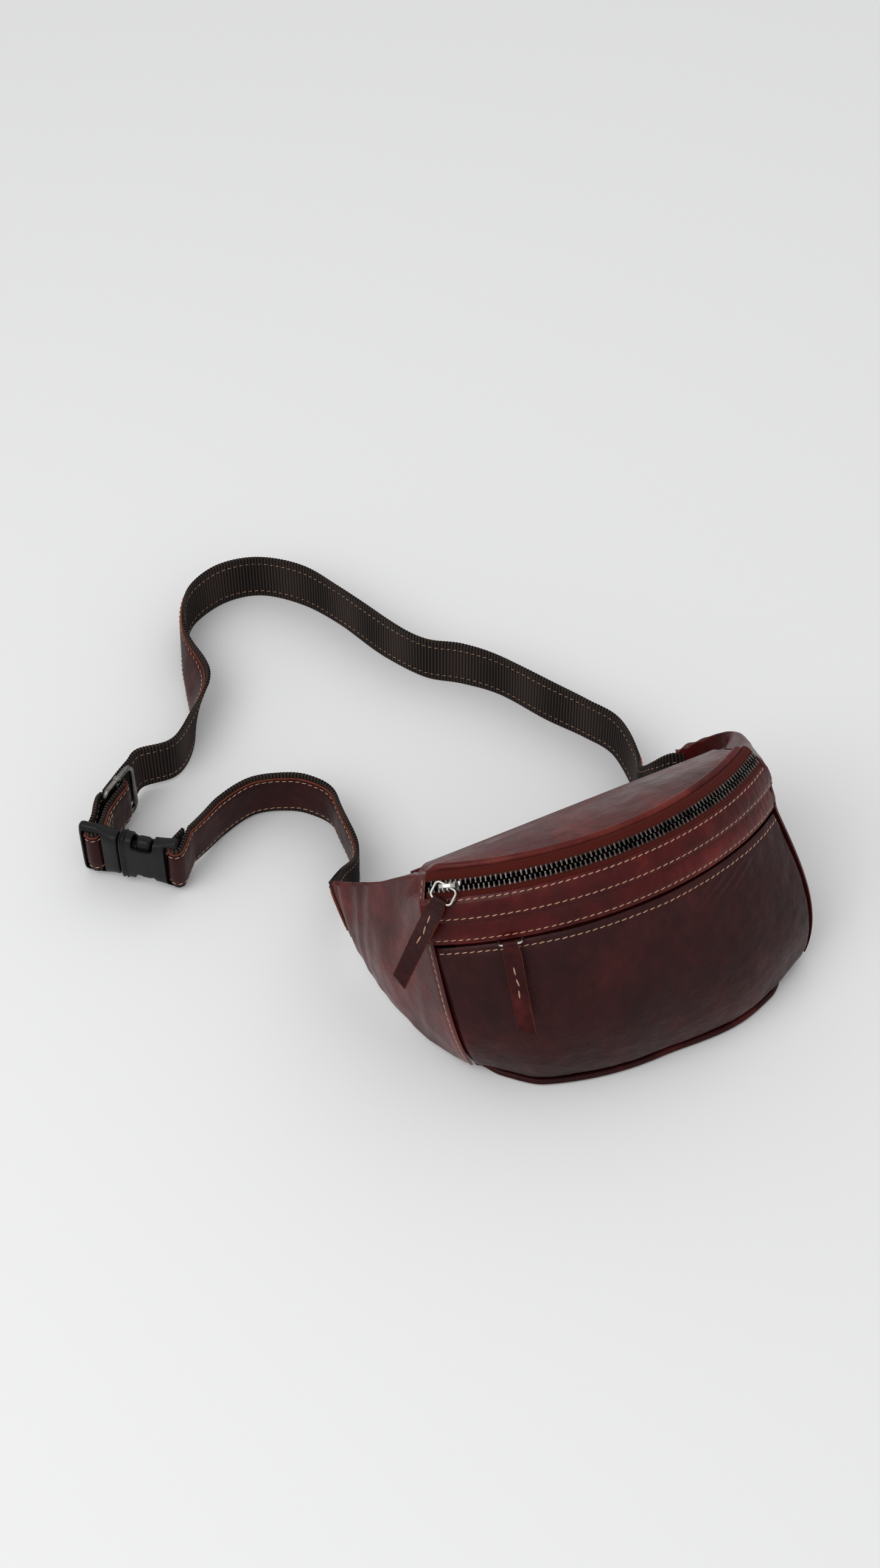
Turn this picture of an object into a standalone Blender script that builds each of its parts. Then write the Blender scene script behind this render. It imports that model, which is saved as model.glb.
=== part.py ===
"""Leather waist pack with its belt, side-release buckle and two zips, leaning back on its flat base."""
import math

import bmesh
import bpy
from mathutils import Matrix, Vector

# Driving dimensions, metres
BAG_LEAN = math.radians(27.5)
BAG_BACK_EDGE = 0.030
BACK_HEIGHT = 0.1243
BACK_HALF_WIDTH = 0.107
FRONT_AXIS = 0.0948
FRONT_HALF_ANGLE = math.radians(41.8)
FRONT_RADIUS = 0.1760
ZIP_RADIUS = 0.1697
ZIP_HEIGHT = 0.1271
ZIP_SLOPE = math.radians(60)
PIPING_RADIUS = 0.1610
PIPING_HEIGHT = 0.1346
SLIT_HEIGHT = 0.0900
BAND_SEAM_HEIGHT = 0.1058
BAND_TOP_HEIGHT = 0.1214
BASE_RADIUS = 0.1916
BASE_HALF_WIDTH = 0.1060
BASE_DEPTH = 0.0647
BASE_RIGHT_REACH = 0.0120
BASE_RIGHT_SWELL = 0.0093
BASE_LEFT_ROUND = 0.0100
POCKET_BULGE = 0.0135
TOP_DOME = 0.0060
LEATHER = 0.0018
LINING = 0.0006
PIPING_WIRE = 0.0021
FIT_GAP = 0.0003
TAPE = 0.0008
TOOTH_PITCH = 0.0030
TOOTH_REACH = 0.0029
TOOTH_HEIGHT = 0.0024
TOOTH_RAIL = 0.0010
CHAIN_GAP = 0.0012
SLIDER_LENGTH = 0.0125
SLIDER_WIDTH = 0.0100
SLIDER_PLATE = 0.0013
BRIDGE_WIRE = 0.0010
RING_WIRE = 0.0008
RING_WIDTH = 0.0140
RING_LENGTH = 0.0100
PULL_WIDTH = 0.0120
PULL_LENGTH = 0.0565
PULL_THICK = 0.0022
STRAP_WIDTH = 0.0380
STRAP_STEP = 0.0090
WEBBING = 0.0020
FACING = 0.0013
FACING_WIDTH = 0.0310
BUCKLE_WIDTH = 0.0460
ADJUSTER_ROD = 0.0018
ADJUSTER_COLLAR = 0.0026
ADJUSTER_LENGTH = 0.0340
ADJUSTER_HEIGHT = 0.0465
LOOP_LIFT = 0.0045
FACING_GAP = 0.0005
# Wings: each column is a top point, a low point, how far its middle swells out, and the way to its back skin
LEFT_WING = [
    ((-0.1165, 0.086, 0.107), (-0.1210, 0.038, 0.004), 0.011, (1, 0.45, 0)),
    ((-0.1250, 0.099, 0.091), (-0.1290, 0.066, 0.007), 0.008, (1, 0.45, 0)),
    ((-0.1320, 0.117, 0.075), (-0.1330, 0.092, 0.012), 0.004, (1, 0.45, 0)),
    ((-0.1418, 0.1353, 0.062), (-0.1345, 0.115, 0.019), 0.0, (1, 0.45, 0)),
]
RIGHT_WING = [
    ((0.1230, 0.084, 0.112), (0.1270, 0.034, 0.004), 0.008, (-1, 0.3, 0)),
    ((0.1245, 0.103, 0.100), (0.1290, 0.068, 0.008), 0.006, (-1, 0.1, 0)),
    ((0.1130, 0.117, 0.086), (0.1190, 0.095, 0.016), 0.003, (-0.8, -0.6, 0)),
    ((0.0970, 0.1230, 0.077), (0.0970, 0.107, 0.031), 0.0, (-0.25, -0.97, 0)),
]
WING_BACK_INSET = 0.0034
WING_SEAM_GAP = 0.0012
BACK_LIFT = 0.0018
POCKET_CHAIN_DEPTH = 0.0070
CHAIN_EDGE = CHAIN_GAP / 2 + TOOTH_REACH + TOOTH_RAIL
ZIP_HALF_ANGLE = FRONT_HALF_ANGLE - 0.008
MAIN_HOME = -0.645
POCKET_HOME = -0.470
MAIN_SKEW = math.radians(-33)
MAIN_DIP = math.radians(5)
POCKET_HANG = math.radians(77)
POCKET_RING_LENGTH = 0.0085
RING_OUT = TOOTH_HEIGHT / 2 + 0.0005 + SLIDER_PLATE + RING_WIRE + 0.0004
# Belt: straps stand on edge, and each is webbing with a narrower leather facing on its outer side
SHORT_ROUTE = [(-0.1397, 0.1389, 0.022), (-0.1290, 0.1490, 0.014), (-0.1140, 0.1620, 0.004),
               (-0.1062, 0.1775, 0), (-0.1030, 0.2060, 0), (-0.1020, 0.2229, 0), (-0.1086, 0.2361, 0),
               (-0.1213, 0.2475, 0), (-0.1450, 0.2555, 0), (-0.1692, 0.2500, 0), (-0.1860, 0.2400, 0.0025)]
LONG_ROUTE = [(0.0925, 0.1235, 0.036), (0.0850, 0.1300, 0.026), (0.0850, 0.1430, 0.009),
              (0.0935, 0.1624, 0), (0.0963, 0.1934, 0), (0.0859, 0.2167, 0), (0.0707, 0.2431, 0),
              (0.0517, 0.2787, 0), (0.0333, 0.3002, 0), (0.0127, 0.3168, 0), (-0.0025, 0.3442, 0),
              (-0.0193, 0.3897, 0), (-0.0344, 0.4201, 0), (-0.0578, 0.4418, 0), (-0.0847, 0.4475, 0),
              (-0.1100, 0.4392, 0), (-0.1244, 0.4236, 0), (-0.1371, 0.3960, 0), (-0.1438, 0.3741, 0),
              (-0.1494, 0.3523, 0), (-0.1569, 0.3345, 0), (-0.1694, 0.3168, 0.001), (-0.1830, 0.3075, 0.003)]
BUCKLE_CENTRE = Vector((-0.2355, 0.2406, 0.0240))
BUCKLE_HEADING = math.atan2(-0.653, 0.757)
PLUG_BAR = -0.02675
SOCKET_BAR = 0.02935
ADJUSTER_MIDDLE = (0.0026, 0.0414)
ADJUSTER_TURN = math.radians(-14.6)
WRAP = 0.0018 + 0.0006 + WEBBING / 2
SHORT_LEAD = (0.0055, -0.0185, 0)
LONG_LEAD = (0, -0.0150, 0)
BEND_STEP = 0.0016

PACK = None
CUTTERS = None


def clear_scene():
    for old in list(bpy.data.objects):
        bpy.data.objects.remove(old, do_unlink=True)


def new_collection(name):
    group = bpy.data.collections.new(name)
    bpy.context.scene.collection.children.link(group)
    return group


def material(name, colour, roughness, metallic=0.0):
    made = bpy.data.materials.get(name)
    if made is None:
        made = bpy.data.materials.new(name)
        made.use_nodes = True
        shader = made.node_tree.nodes["Principled BSDF"]
        shader.inputs["Base Color"].default_value = (*colour, 1.0)
        shader.inputs["Roughness"].default_value = roughness
        shader.inputs["Metallic"].default_value = metallic
    return made


def leather():
    return material("oxblood_leather", (0.13, 0.022, 0.018), 0.45)


def dark_leather():
    return material("dark_oxblood_leather", (0.06, 0.014, 0.014), 0.5)


def cotton():
    return material("lining_cotton", (0.05, 0.03, 0.03), 0.9)


def tape_cloth():
    return material("tape_cloth", (0.17, 0.03, 0.015), 0.8)


def gunmetal():
    return material("gunmetal", (0.10, 0.10, 0.10), 0.35, 1.0)


def nickel():
    return material("brushed_nickel", (0.45, 0.43, 0.41), 0.3, 1.0)


def webbing_cloth():
    return material("belt_webbing", (0.02, 0.013, 0.011), 0.85)


def black_plastic():
    return material("black_acetal", (0.012, 0.012, 0.013), 0.4)


def finish(mesh_object, surface, group=None):
    mesh_object.data.materials.clear()
    mesh_object.data.materials.append(surface)
    for owner in list(mesh_object.users_collection):
        owner.objects.unlink(mesh_object)
    (group or PACK).objects.link(mesh_object)
    return mesh_object


def from_bmesh(name, shape, surface):
    data = bpy.data.meshes.new(name)
    shape.normal_update()
    shape.to_mesh(data)
    shape.free()
    made = bpy.data.objects.new(name, data)
    PACK.objects.link(made)
    return finish(made, surface)


def sheet(name, place, columns, rows, thickness, surface, offset=0.0):
    """A skin whose middle surface is place(u, v), with u and v from 0 to 1."""
    shape = bmesh.new()
    bmesh.ops.create_grid(shape, x_segments=columns, y_segments=rows, size=0.5)
    for corner in shape.verts:
        corner.co = place(corner.co.x + 0.5, corner.co.y + 0.5)
    made = from_bmesh(name, shape, surface)
    wall = made.modifiers.new("wall", "SOLIDIFY")
    wall.thickness = thickness
    wall.offset = offset
    wall.use_even_offset = True
    return made


def tube(name, points, radius, surface, closed=False, sides=3):
    data = bpy.data.curves.new(name, "CURVE")
    data.dimensions = "3D"
    data.bevel_depth = radius
    data.bevel_resolution = sides
    data.use_fill_caps = not closed
    spline = data.splines.new("POLY")
    spline.points.add(len(points) - 1)
    for knot, point in zip(spline.points, points):
        knot.co = (*point, 1.0)
    spline.use_cyclic_u = closed
    made = bpy.data.objects.new(name, data)
    PACK.objects.link(made)
    data.materials.append(surface)
    return made


def as_mesh(curve_object):
    """The curve as a closed mesh object with the same name, ready for a Boolean."""
    bpy.context.view_layer.update()
    graph = bpy.context.evaluated_depsgraph_get()
    data = bpy.data.meshes.new_from_object(curve_object.evaluated_get(graph))
    name = curve_object.name
    surface = curve_object.data.materials[0]
    place = curve_object.matrix_world.copy()
    bpy.data.objects.remove(curve_object, do_unlink=True)
    shape = bmesh.new()
    shape.from_mesh(data)
    bmesh.ops.remove_doubles(shape, verts=shape.verts, dist=0.00001)
    made = from_bmesh(name, shape, surface)
    made.matrix_world = place
    return made


def block(name, size, place, surface, bevel=0.0, segments=2):
    shape = bmesh.new()
    bmesh.ops.create_cube(shape, size=1.0)
    bmesh.ops.scale(shape, vec=size, verts=shape.verts)
    bmesh.ops.transform(shape, matrix=place, verts=shape.verts)
    made = from_bmesh(name, shape, surface)
    if bevel:
        edge = made.modifiers.new("edge", "BEVEL")
        edge.width = bevel
        edge.segments = segments
    return made


def boolean(target, tool, operation):
    tool.hide_render = True
    tool.display_type = "WIRE"
    for owner in list(tool.users_collection):
        owner.objects.unlink(tool)
    CUTTERS.objects.link(tool)
    step = target.modifiers.new(operation.lower(), "BOOLEAN")
    step.operation = operation
    step.solver = "EXACT"
    step.object = tool
    return target


def through(points, count):
    """Evenly spaced points on a smooth curve through the given points."""
    knots = [Vector(p) for p in points]
    ends = [knots[0] * 2 - knots[1]] + knots + [knots[-1] * 2 - knots[-2]]
    fine = []
    for k in range(len(knots) - 1):
        a, b, c, d = ends[k:k + 4]
        for step in range(24):
            t = step / 24
            fine.append(0.5 * (2 * b + (c - a) * t + (2 * a - 5 * b + 4 * c - d) * t * t
                               + (3 * b - a - 3 * c + d) * t ** 3))
    fine.append(knots[-1])
    run = [0.0]
    for a, b in zip(fine, fine[1:]):
        run.append(run[-1] + (b - a).length)
    spaced = []
    k = 0
    for n in range(count):
        goal = run[-1] * n / (count - 1)
        while k < len(run) - 2 and run[k + 1] < goal:
            k += 1
        share = (goal - run[k]) / max(run[k + 1] - run[k], 1e-9)
        spaced.append(fine[k].lerp(fine[k + 1], min(max(share, 0), 1)))
    return spaced


# The bag's own frame leans back about the back edge of its base


def lean(x, y, z):
    c = math.cos(BAG_LEAN)
    s = math.sin(BAG_LEAN)
    return Vector((x, y * c + z * s + BAG_BACK_EDGE, z * c - y * s))


def on_arc(radius, angle, height):
    return lean(radius * math.sin(angle), FRONT_AXIS - radius * math.cos(angle), height)


def side_angle(u):
    return (2 * u - 1) * FRONT_HALF_ANGLE


def band_radius(height):
    rise = (height - SLIT_HEIGHT) / (BAND_TOP_HEIGHT - SLIT_HEIGHT)
    return FRONT_RADIUS - 0.0028 * rise * rise


def zip_offset(along, out=0.0):
    """Radius and height of a point of the zip's section, along it downwards and out from it."""
    c = math.cos(ZIP_SLOPE)
    s = math.sin(ZIP_SLOPE)
    return ZIP_RADIUS + along * c + out * s, ZIP_HEIGHT - along * s + out * c


def band_place(low, high):
    def place(u, v):
        height = low + (high - low) * v
        return on_arc(band_radius(height) - LEATHER / 2, side_angle(u), height)
    return place


def smooth(share):
    share = min(max(share, 0.0), 1.0)
    return share * share * (3 - 2 * share)


def base_edge(u, inset=0.0, height=0.0):
    half = math.asin(BASE_HALF_WIDTH / BASE_RADIUS)
    angle = (2 * u - 1) * half
    radius = BASE_RADIUS - inset
    centre = BASE_RADIUS + BAG_BACK_EDGE - BASE_DEPTH
    right = max(0.0, 2 * u - 1)
    left = max(0.0, 1 - 2 * u)
    return Vector((radius * math.sin(angle) + BASE_RIGHT_REACH * right ** 2,
                   centre - radius * math.cos(angle) - BASE_RIGHT_SWELL * smooth(right / 0.6)
                   + BASE_LEFT_ROUND * smooth((left - 0.66) / 0.3), height))


def pocket_place(u, v, inset=0.0):
    top_height = SLIT_HEIGHT - 0.0015
    top = on_arc(FRONT_RADIUS - LEATHER / 2 - inset, side_angle(u), top_height)
    low = base_edge(u, LEATHER / 2 + inset, 2 * PIPING_WIRE + 0.0007)
    out = Vector(((2 * u - 1) * 0.55, -1, 0.18)).normalized()
    return low.lerp(top, v) + out * (POCKET_BULGE * math.sin(math.pi * v ** 0.85))


def seam_place(side, v):
    """The side seam from the base, v = 0, to the end of the top piping, v = 1."""
    u = 1 if side > 0 else 0
    share = 0.62
    if v <= share:
        return pocket_place(u, v / share)
    rise = (v - share) / (1 - share)
    height = SLIT_HEIGHT + (PIPING_HEIGHT - 0.002 - SLIT_HEIGHT) * rise
    sweep = band_radius(min(height, BAND_TOP_HEIGHT)) - LEATHER / 2
    over = max(0.0, (height - BAND_TOP_HEIGHT) / (PIPING_HEIGHT - 0.002 - BAND_TOP_HEIGHT))
    radius = sweep + (PIPING_RADIUS + 0.0005 - sweep) * over
    return on_arc(radius, side * FRONT_HALF_ANGLE, height)


def blend_columns(columns, u, v):
    spread = u * (len(columns) - 1)
    k = min(int(spread), len(columns) - 2)
    t = spread - k
    a, b, c, d = [columns[min(max(k + n, 0), len(columns) - 1)](v) for n in (-1, 0, 1, 2)]
    return 0.5 * (2 * b + (c - a) * t + (2 * a - 5 * b + 4 * c - d) * t * t
                  + (3 * b - a - 3 * c + d) * t ** 3)


def wing_column(top, low, swell, side):
    def column(v):
        out = Vector((side, -0.25, 0)).normalized()
        return Vector(low).lerp(Vector(top), v) + out * (swell * math.sin(math.pi * v))
    return column


def wing_front_place(side, stations):
    columns = [lambda v: seam_place(side, v) + Vector((side * WING_SEAM_GAP, WING_SEAM_GAP, 0))]
    columns += [wing_column(top, low, swell, side) for top, low, swell, _ in stations]
    return lambda u, v: blend_columns(columns, u, 0.012 + v * 0.976)


def wing_back_place(side, stations):
    low_back = Vector((side * (BASE_HALF_WIDTH + 0.0015), BAG_BACK_EDGE + 0.006, 0.0045))
    high_back = lean(side * (BACK_HALF_WIDTH + 0.0015), -LEATHER / 2, BACK_HEIGHT - 0.001)
    columns = [lambda v: low_back.lerp(high_back, v)]
    for top, low, swell, way in stations[1:]:
        inwards = Vector(way).normalized() * WING_BACK_INSET
        rise = Vector((0, 0, 0.003))
        columns.append(wing_column(Vector(top) + inwards - rise, Vector(low) + inwards + rise,
                                   swell * 0.15, side))
    return lambda u, v: blend_columns(columns, u, v)


def back_place(u, v):
    half = BASE_HALF_WIDTH + (BACK_HALF_WIDTH - BASE_HALF_WIDTH) * v
    return lean((2 * u - 1) * half, -LEATHER / 2, BACK_LIFT + (BACK_HEIGHT - BACK_LIFT) * v)


def top_place(u, v):
    front = on_arc(PIPING_RADIUS - PIPING_WIRE - 0.0007, side_angle(u) * 0.985, PIPING_HEIGHT + 0.0004)
    back = lean((2 * u - 1) * (BACK_HALF_WIDTH - 0.003), -LEATHER, BACK_HEIGHT + 0.0018)
    across = 1 - (2 * u - 1) ** 2
    return back.lerp(front, v) + Vector((0, 0, TOP_DOME * across * math.sin(math.pi * v)))


def build_bag():
    sheet("back_panel", back_place, 8, 4, LEATHER, leather())
    sheet("top_panel", top_place, 16, 3, LEATHER, leather())
    high_band = band_place(BAND_SEAM_HEIGHT + 0.0003, BAND_TOP_HEIGHT)
    low_band = band_place(SLIT_HEIGHT + 0.0013, BAND_SEAM_HEIGHT - 0.0003)
    sheet("front_band_upper", high_band, 20, 2, LEATHER, leather())
    sheet("front_band_lower", low_band, 20, 2, LEATHER, leather())
    sheet("pocket_panel", pocket_place, 20, 8, LEATHER, dark_leather())
    sheet("left_wing_front", wing_front_place(-1, LEFT_WING), 14, 8, LEATHER, leather())
    sheet("right_wing_front", wing_front_place(1, RIGHT_WING), 14, 8, LEATHER, leather())
    sheet("left_wing_back", wing_back_place(-1, LEFT_WING), 8, 4, LEATHER, leather())
    sheet("right_wing_back", wing_back_place(1, RIGHT_WING), 8, 4, LEATHER, leather())
    steps = 24
    crown = [on_arc(PIPING_RADIUS, side_angle(k / steps), PIPING_HEIGHT) for k in range(steps + 1)]
    tube("top_piping", crown, PIPING_WIRE, leather(), sides=2)
    hem = [base_edge(k / steps, PIPING_WIRE, PIPING_WIRE) for k in range(steps + 1)]
    tube("base_piping", hem, PIPING_WIRE, leather(), sides=2)

    def base_place(u, v):
        front = base_edge(u, 2 * PIPING_WIRE + FIT_GAP, LEATHER / 2)
        back = Vector(((2 * u - 1) * (BASE_HALF_WIDTH - 0.003), BAG_BACK_EDGE - 0.0005, LEATHER / 2))
        return back.lerp(front, v)
    sheet("base_panel", base_place, 16, 2, LEATHER, leather())

    inset = LEATHER + LINING / 2 + FIT_GAP

    def pocket_lining_place(u, v):
        return pocket_place(0.03 + u * 0.94, 0.06 + v * 0.82, inset)

    def main_lining_place(u, v):
        across = 0.05 + u * 0.9
        if v < 0.6:
            return pocket_place(across, 0.08 + v * 1.2, inset + 0.0012 + 0.0076 * (v / 0.6) ** 2)
        rise = (v - 0.6) / 0.4
        height = 0.0775 + 0.0395 * rise
        deep = 0.0115 - 0.0092 * max(0.0, 2 * rise - 1) ** 2
        return on_arc(band_radius(height) - deep, side_angle(across), height)
    sheet("pocket_lining", pocket_lining_place, 16, 5, LINING, cotton())
    sheet("main_lining", main_lining_place, 16, 8, LINING, cotton())


# Zips run round the bag's own upright axis, so a slider turns about that axis


def on_zip(angle, along, out):
    radius, height = zip_offset(along, out)
    return on_arc(radius, angle, height)


def pocket_chain(angle, along, out):
    return on_arc(FRONT_RADIUS - POCKET_CHAIN_DEPTH + out, angle, SLIT_HEIGHT - along)


def warp(shape, place):
    bmesh.ops.recalc_face_normals(shape, faces=shape.faces)
    for corner in shape.verts:
        corner.co = place(*corner.co)
    bmesh.ops.reverse_faces(shape, faces=shape.faces)


def flat_strip(low, high, columns, floor, roof, half_angle):
    """A closed strip in flat zip space: x is the angle, y runs down the section, z out of it."""
    shape = bmesh.new()
    bmesh.ops.create_grid(shape, x_segments=columns, y_segments=1, size=0.5)
    for corner in shape.verts:
        corner.co.x *= 2 * half_angle
        corner.co.y = low + (corner.co.y + 0.5) * (high - low)
        corner.co.z = floor
    grown = bmesh.ops.extrude_face_region(shape, geom=shape.faces[:])
    risen = [item for item in grown["geom"] if isinstance(item, bmesh.types.BMVert)]
    bmesh.ops.translate(shape, vec=(0, 0, roof - floor), verts=risen)
    return shape


def teeth_row(name, side):
    teeth = int(2 * ZIP_HALF_ANGLE * ZIP_RADIUS / TOOTH_PITCH)
    inner = side * (CHAIN_GAP / 2 + TOOTH_REACH)
    outer = side * CHAIN_EDGE
    half = TOOTH_HEIGHT / 2
    shape = flat_strip(min(inner, outer), max(inner, outer), 2 * teeth, -half, half, ZIP_HALF_ANGLE)
    bmesh.ops.recalc_face_normals(shape, faces=shape.faces)
    shape.faces.ensure_lookup_table()
    cell = ZIP_HALF_ANGLE / teeth
    roots = []
    for face in shape.faces:
        middle = face.calc_center_median()
        column = int((middle.x + ZIP_HALF_ANGLE) / cell)
        if abs(middle.y - inner) < 1e-6 and abs(face.normal.y) > 0.9 and column % 2 == (side > 0):
            roots.append(face)
    grown = bmesh.ops.extrude_discrete_faces(shape, faces=roots)
    tips = {corner for face in grown["faces"] for corner in face.verts}
    bmesh.ops.translate(shape, vec=(0, -side * TOOTH_REACH, 0), verts=list(tips))
    warp(shape, on_zip)
    return from_bmesh(name, shape, gunmetal())


def tape(name, low, high, place, half_angle, surface):
    shape = flat_strip(low, high, 22, -TAPE / 2, TAPE / 2, half_angle)
    warp(shape, place)
    return from_bmesh(name, shape, surface)


def frame_at(place, angle, out):
    """A matrix whose X runs along the zip to its left end, Y down its section and Z out of it."""
    step = 0.001
    origin = place(angle, 0, out)
    along = (place(angle - step, 0, out) - place(angle + step, 0, out)).normalized()
    down = (place(angle, step, out) - place(angle, -step, out)).normalized()
    rise = along.cross(down).normalized()
    down = rise.cross(along)
    turn = Matrix((along, down, rise)).transposed().to_4x4()
    return Matrix.Translation(origin) @ turn


def slider(name, home, length, width, plate, web, surface, bridge=True):
    """Two plates joined by a thin web through the chain, with a wire bridge for the pull."""
    lift = TOOTH_HEIGHT / 2 + 0.0005
    taper = Matrix.Translation((0, 0, lift + plate / 2))
    body = block(name, (length, width, plate), home @ taper, surface, 0.0004, 1)
    under = Matrix.Translation((0, 0, -lift - plate / 2))
    lower = block(name + "_lower", (length, width * 0.9, plate), home @ under, surface)
    middle = block(name + "_web", (length * 0.45, web, 2 * lift + plate), home, surface)
    boolean(body, lower, "UNION")
    boolean(body, middle, "UNION")
    if bridge:
        reach = length * 0.40
        base = lift + plate * 0.5
        arch = []
        for k in range(9):
            turn = math.pi * k / 8
            arch.append(home @ Vector((reach * math.cos(turn), 0, base + 0.0044 * math.sin(turn) ** 0.6)))
        wire = as_mesh(tube(name + "_bridge", arch, BRIDGE_WIRE, surface, sides=1))
        boolean(body, wire, "UNION")
    return body


def pull_frame(home, out, skew, dip):
    """X across the pull, Y towards its end, Z up off the bag, at the ring's near bar."""
    turned = home @ Matrix.Translation((0, 0, out)) @ Matrix.Rotation(skew, 4, "Z")
    return turned @ Matrix.Rotation(-dip, 4, "X")


def pull_ring(name, base, width, length, surface):
    half = width / 2
    corner = 0.0022
    points = []
    middles = [(half - corner, corner), (half - corner, length - corner),
               (-half + corner, length - corner), (-half + corner, corner)]
    for n, (x, y) in enumerate(middles):
        for k in range(3):
            turn = math.radians(-90 + 90 * n + 45 * k)
            points.append(base @ Vector((x + corner * math.cos(turn), y + corner * math.sin(turn), 0)))
    return tube(name, points, RING_WIRE, surface, closed=True, sides=2)


def pull_tab(name, base, start, length, width, sink=0.0):
    """A leather pull folded round the ring's far bar, with its end cut on the slant."""
    eye = RING_WIRE + FIT_GAP + 0.0014
    here = base @ Matrix.Translation((0, start, 0))
    data = bpy.data.meshes.new(name)
    shape = bmesh.new()
    bmesh.ops.create_cube(shape, size=1.0)
    bmesh.ops.scale(shape, vec=(width, length, PULL_THICK), verts=shape.verts)
    bmesh.ops.translate(shape, vec=(0, length / 2 + eye * 0.5, -sink), verts=shape.verts)
    for corner in shape.verts:
        if corner.co.y > length * 0.5 and corner.co.x > 0:
            corner.co.y -= width * 0.4
    bmesh.ops.transform(shape, matrix=here, verts=shape.verts)
    shape.to_mesh(data)
    shape.free()
    body = bpy.data.objects.new(name, data)
    PACK.objects.link(body)
    finish(body, leather())
    for part, radius, span, operation in (("fold", eye, width, "UNION"),
                                          ("bore", RING_WIRE + FIT_GAP, width + 0.01, "DIFFERENCE")):
        round_bar = bmesh.new()
        bmesh.ops.create_cone(round_bar, cap_ends=True, segments=16, radius1=radius, radius2=radius,
                              depth=span)
        turn = here @ Matrix.Rotation(math.pi / 2, 4, "Y")
        bmesh.ops.transform(round_bar, matrix=turn, verts=round_bar.verts)
        boolean(body, from_bmesh(name + "_" + part, round_bar, leather()), operation)
    return body


def build_zips():
    teeth_row("zip_teeth_upper", -1)
    teeth_row("zip_teeth_lower", 1)
    tape("zip_tape_upper", -0.0098, -CHAIN_EDGE - FIT_GAP, on_zip, ZIP_HALF_ANGLE, tape_cloth())
    tape("zip_tape_lower", CHAIN_EDGE + FIT_GAP, 0.0057, on_zip, ZIP_HALF_ANGLE, tape_cloth())
    home = frame_at(on_zip, MAIN_HOME, 0)
    slider("zip_slider", home, SLIDER_LENGTH, SLIDER_WIDTH, SLIDER_PLATE, CHAIN_GAP - 0.0007, nickel())
    base = pull_frame(home, RING_OUT, MAIN_SKEW, MAIN_DIP)
    pull_ring("zip_pull_ring", base, RING_WIDTH, RING_LENGTH, nickel())
    pull_tab("zip_pull_tab", base, RING_LENGTH, PULL_LENGTH, PULL_WIDTH - 0.002)

    narrow = 0.0020
    tape("pocket_tape_upper", -0.0095, -narrow - FIT_GAP, pocket_chain, ZIP_HALF_ANGLE * 0.93, tape_cloth())
    tape("pocket_tape_lower", narrow + FIT_GAP, 0.0095, pocket_chain, ZIP_HALF_ANGLE * 0.93, tape_cloth())
    for name, low, high in (("pocket_coil_upper", -narrow, -0.0005), ("pocket_coil_lower", 0.0005, narrow)):
        shape = flat_strip(low, high, 22, -0.0008, 0.0008, ZIP_HALF_ANGLE * 0.93)
        warp(shape, pocket_chain)
        from_bmesh(name, shape, gunmetal())
    home = frame_at(pocket_chain, POCKET_HOME, 0)
    slider("pocket_slider", home, 0.0090, 0.0060, 0.0010, 0.0005, nickel(), bridge=False)
    base = home @ Matrix.Translation((0, 0, 0.0036)) @ Matrix.Rotation(math.pi / 2, 4, "X")
    pull_ring("pocket_pull_ring", base, RING_WIDTH, POCKET_RING_LENGTH, nickel())
    hang = base @ Matrix.Translation((0, POCKET_RING_LENGTH, 0)) @ Matrix.Rotation(-POCKET_HANG, 4, "X")
    pull_tab("pocket_pull_tab", hang, 0, PULL_LENGTH, PULL_WIDTH - 0.002)


def buckle_frame():
    return Matrix.Translation(BUCKLE_CENTRE) @ Matrix.Rotation(BUCKLE_HEADING, 4, "Z")


def near_bar(bar, x, y):
    """A point beside a buckle's bar, at the height of the belt's lower edge there."""
    point = buckle_frame() @ Vector((bar + x, y, 0))
    return Vector((point.x, point.y, LOOP_LIFT))


def adjuster_point(across, along):
    """A point in plan beside the adjuster: along its length, and across it to the left."""
    s = math.sin(ADJUSTER_TURN)
    c = math.cos(ADJUSTER_TURN)
    return near_bar(PLUG_BAR, ADJUSTER_MIDDLE[0] - along * s - across * c,
                    ADJUSTER_MIDDLE[1] + along * c - across * s)


def strap_line(route, step):
    length = sum((Vector(b) - Vector(a)).length for a, b in zip(route, route[1:]))
    line = through(route, max(4, round(length / step)) + 1)
    return [Vector((p.x, p.y, max(p.z, 0.0))) for p in line]


def strap_pair(name, line, side, lead=(0, 0, 0)):
    """Webbing along a line in plan with its facing to one side; lead slants the first end's lower edge."""
    count = len(line) - 1

    def ribbon(out, width):
        def place(u, v):
            k = min(round(u * count), count)
            ahead = line[min(k + 1, count)] - line[max(k - 1, 0)]
            left = Vector((-ahead.y, ahead.x, 0)).normalized() * side
            rise = (STRAP_WIDTH - width) / 2 + v * width
            slant = Vector(lead) * (max(0, 1 - k / 3) * (1 - rise / STRAP_WIDTH))
            return line[k] + left * out + slant + Vector((0, 0, rise))
        return place
    facing_out = WEBBING / 2 + FACING_GAP + FACING / 2
    sheet(name + "_webbing", ribbon(0, STRAP_WIDTH), count, 1, WEBBING, webbing_cloth())
    sheet(name + "_leather", ribbon(facing_out, FACING_WIDTH), count, 1, FACING, leather())


def wrap_points(bar, start, end, radius=WRAP, steps=7):
    points = []
    for k in range(steps):
        turn = start + (end - start) * k / (steps - 1)
        points.append(near_bar(bar, radius * math.cos(turn), radius * math.sin(turn) * 1.15))
    return points


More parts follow.
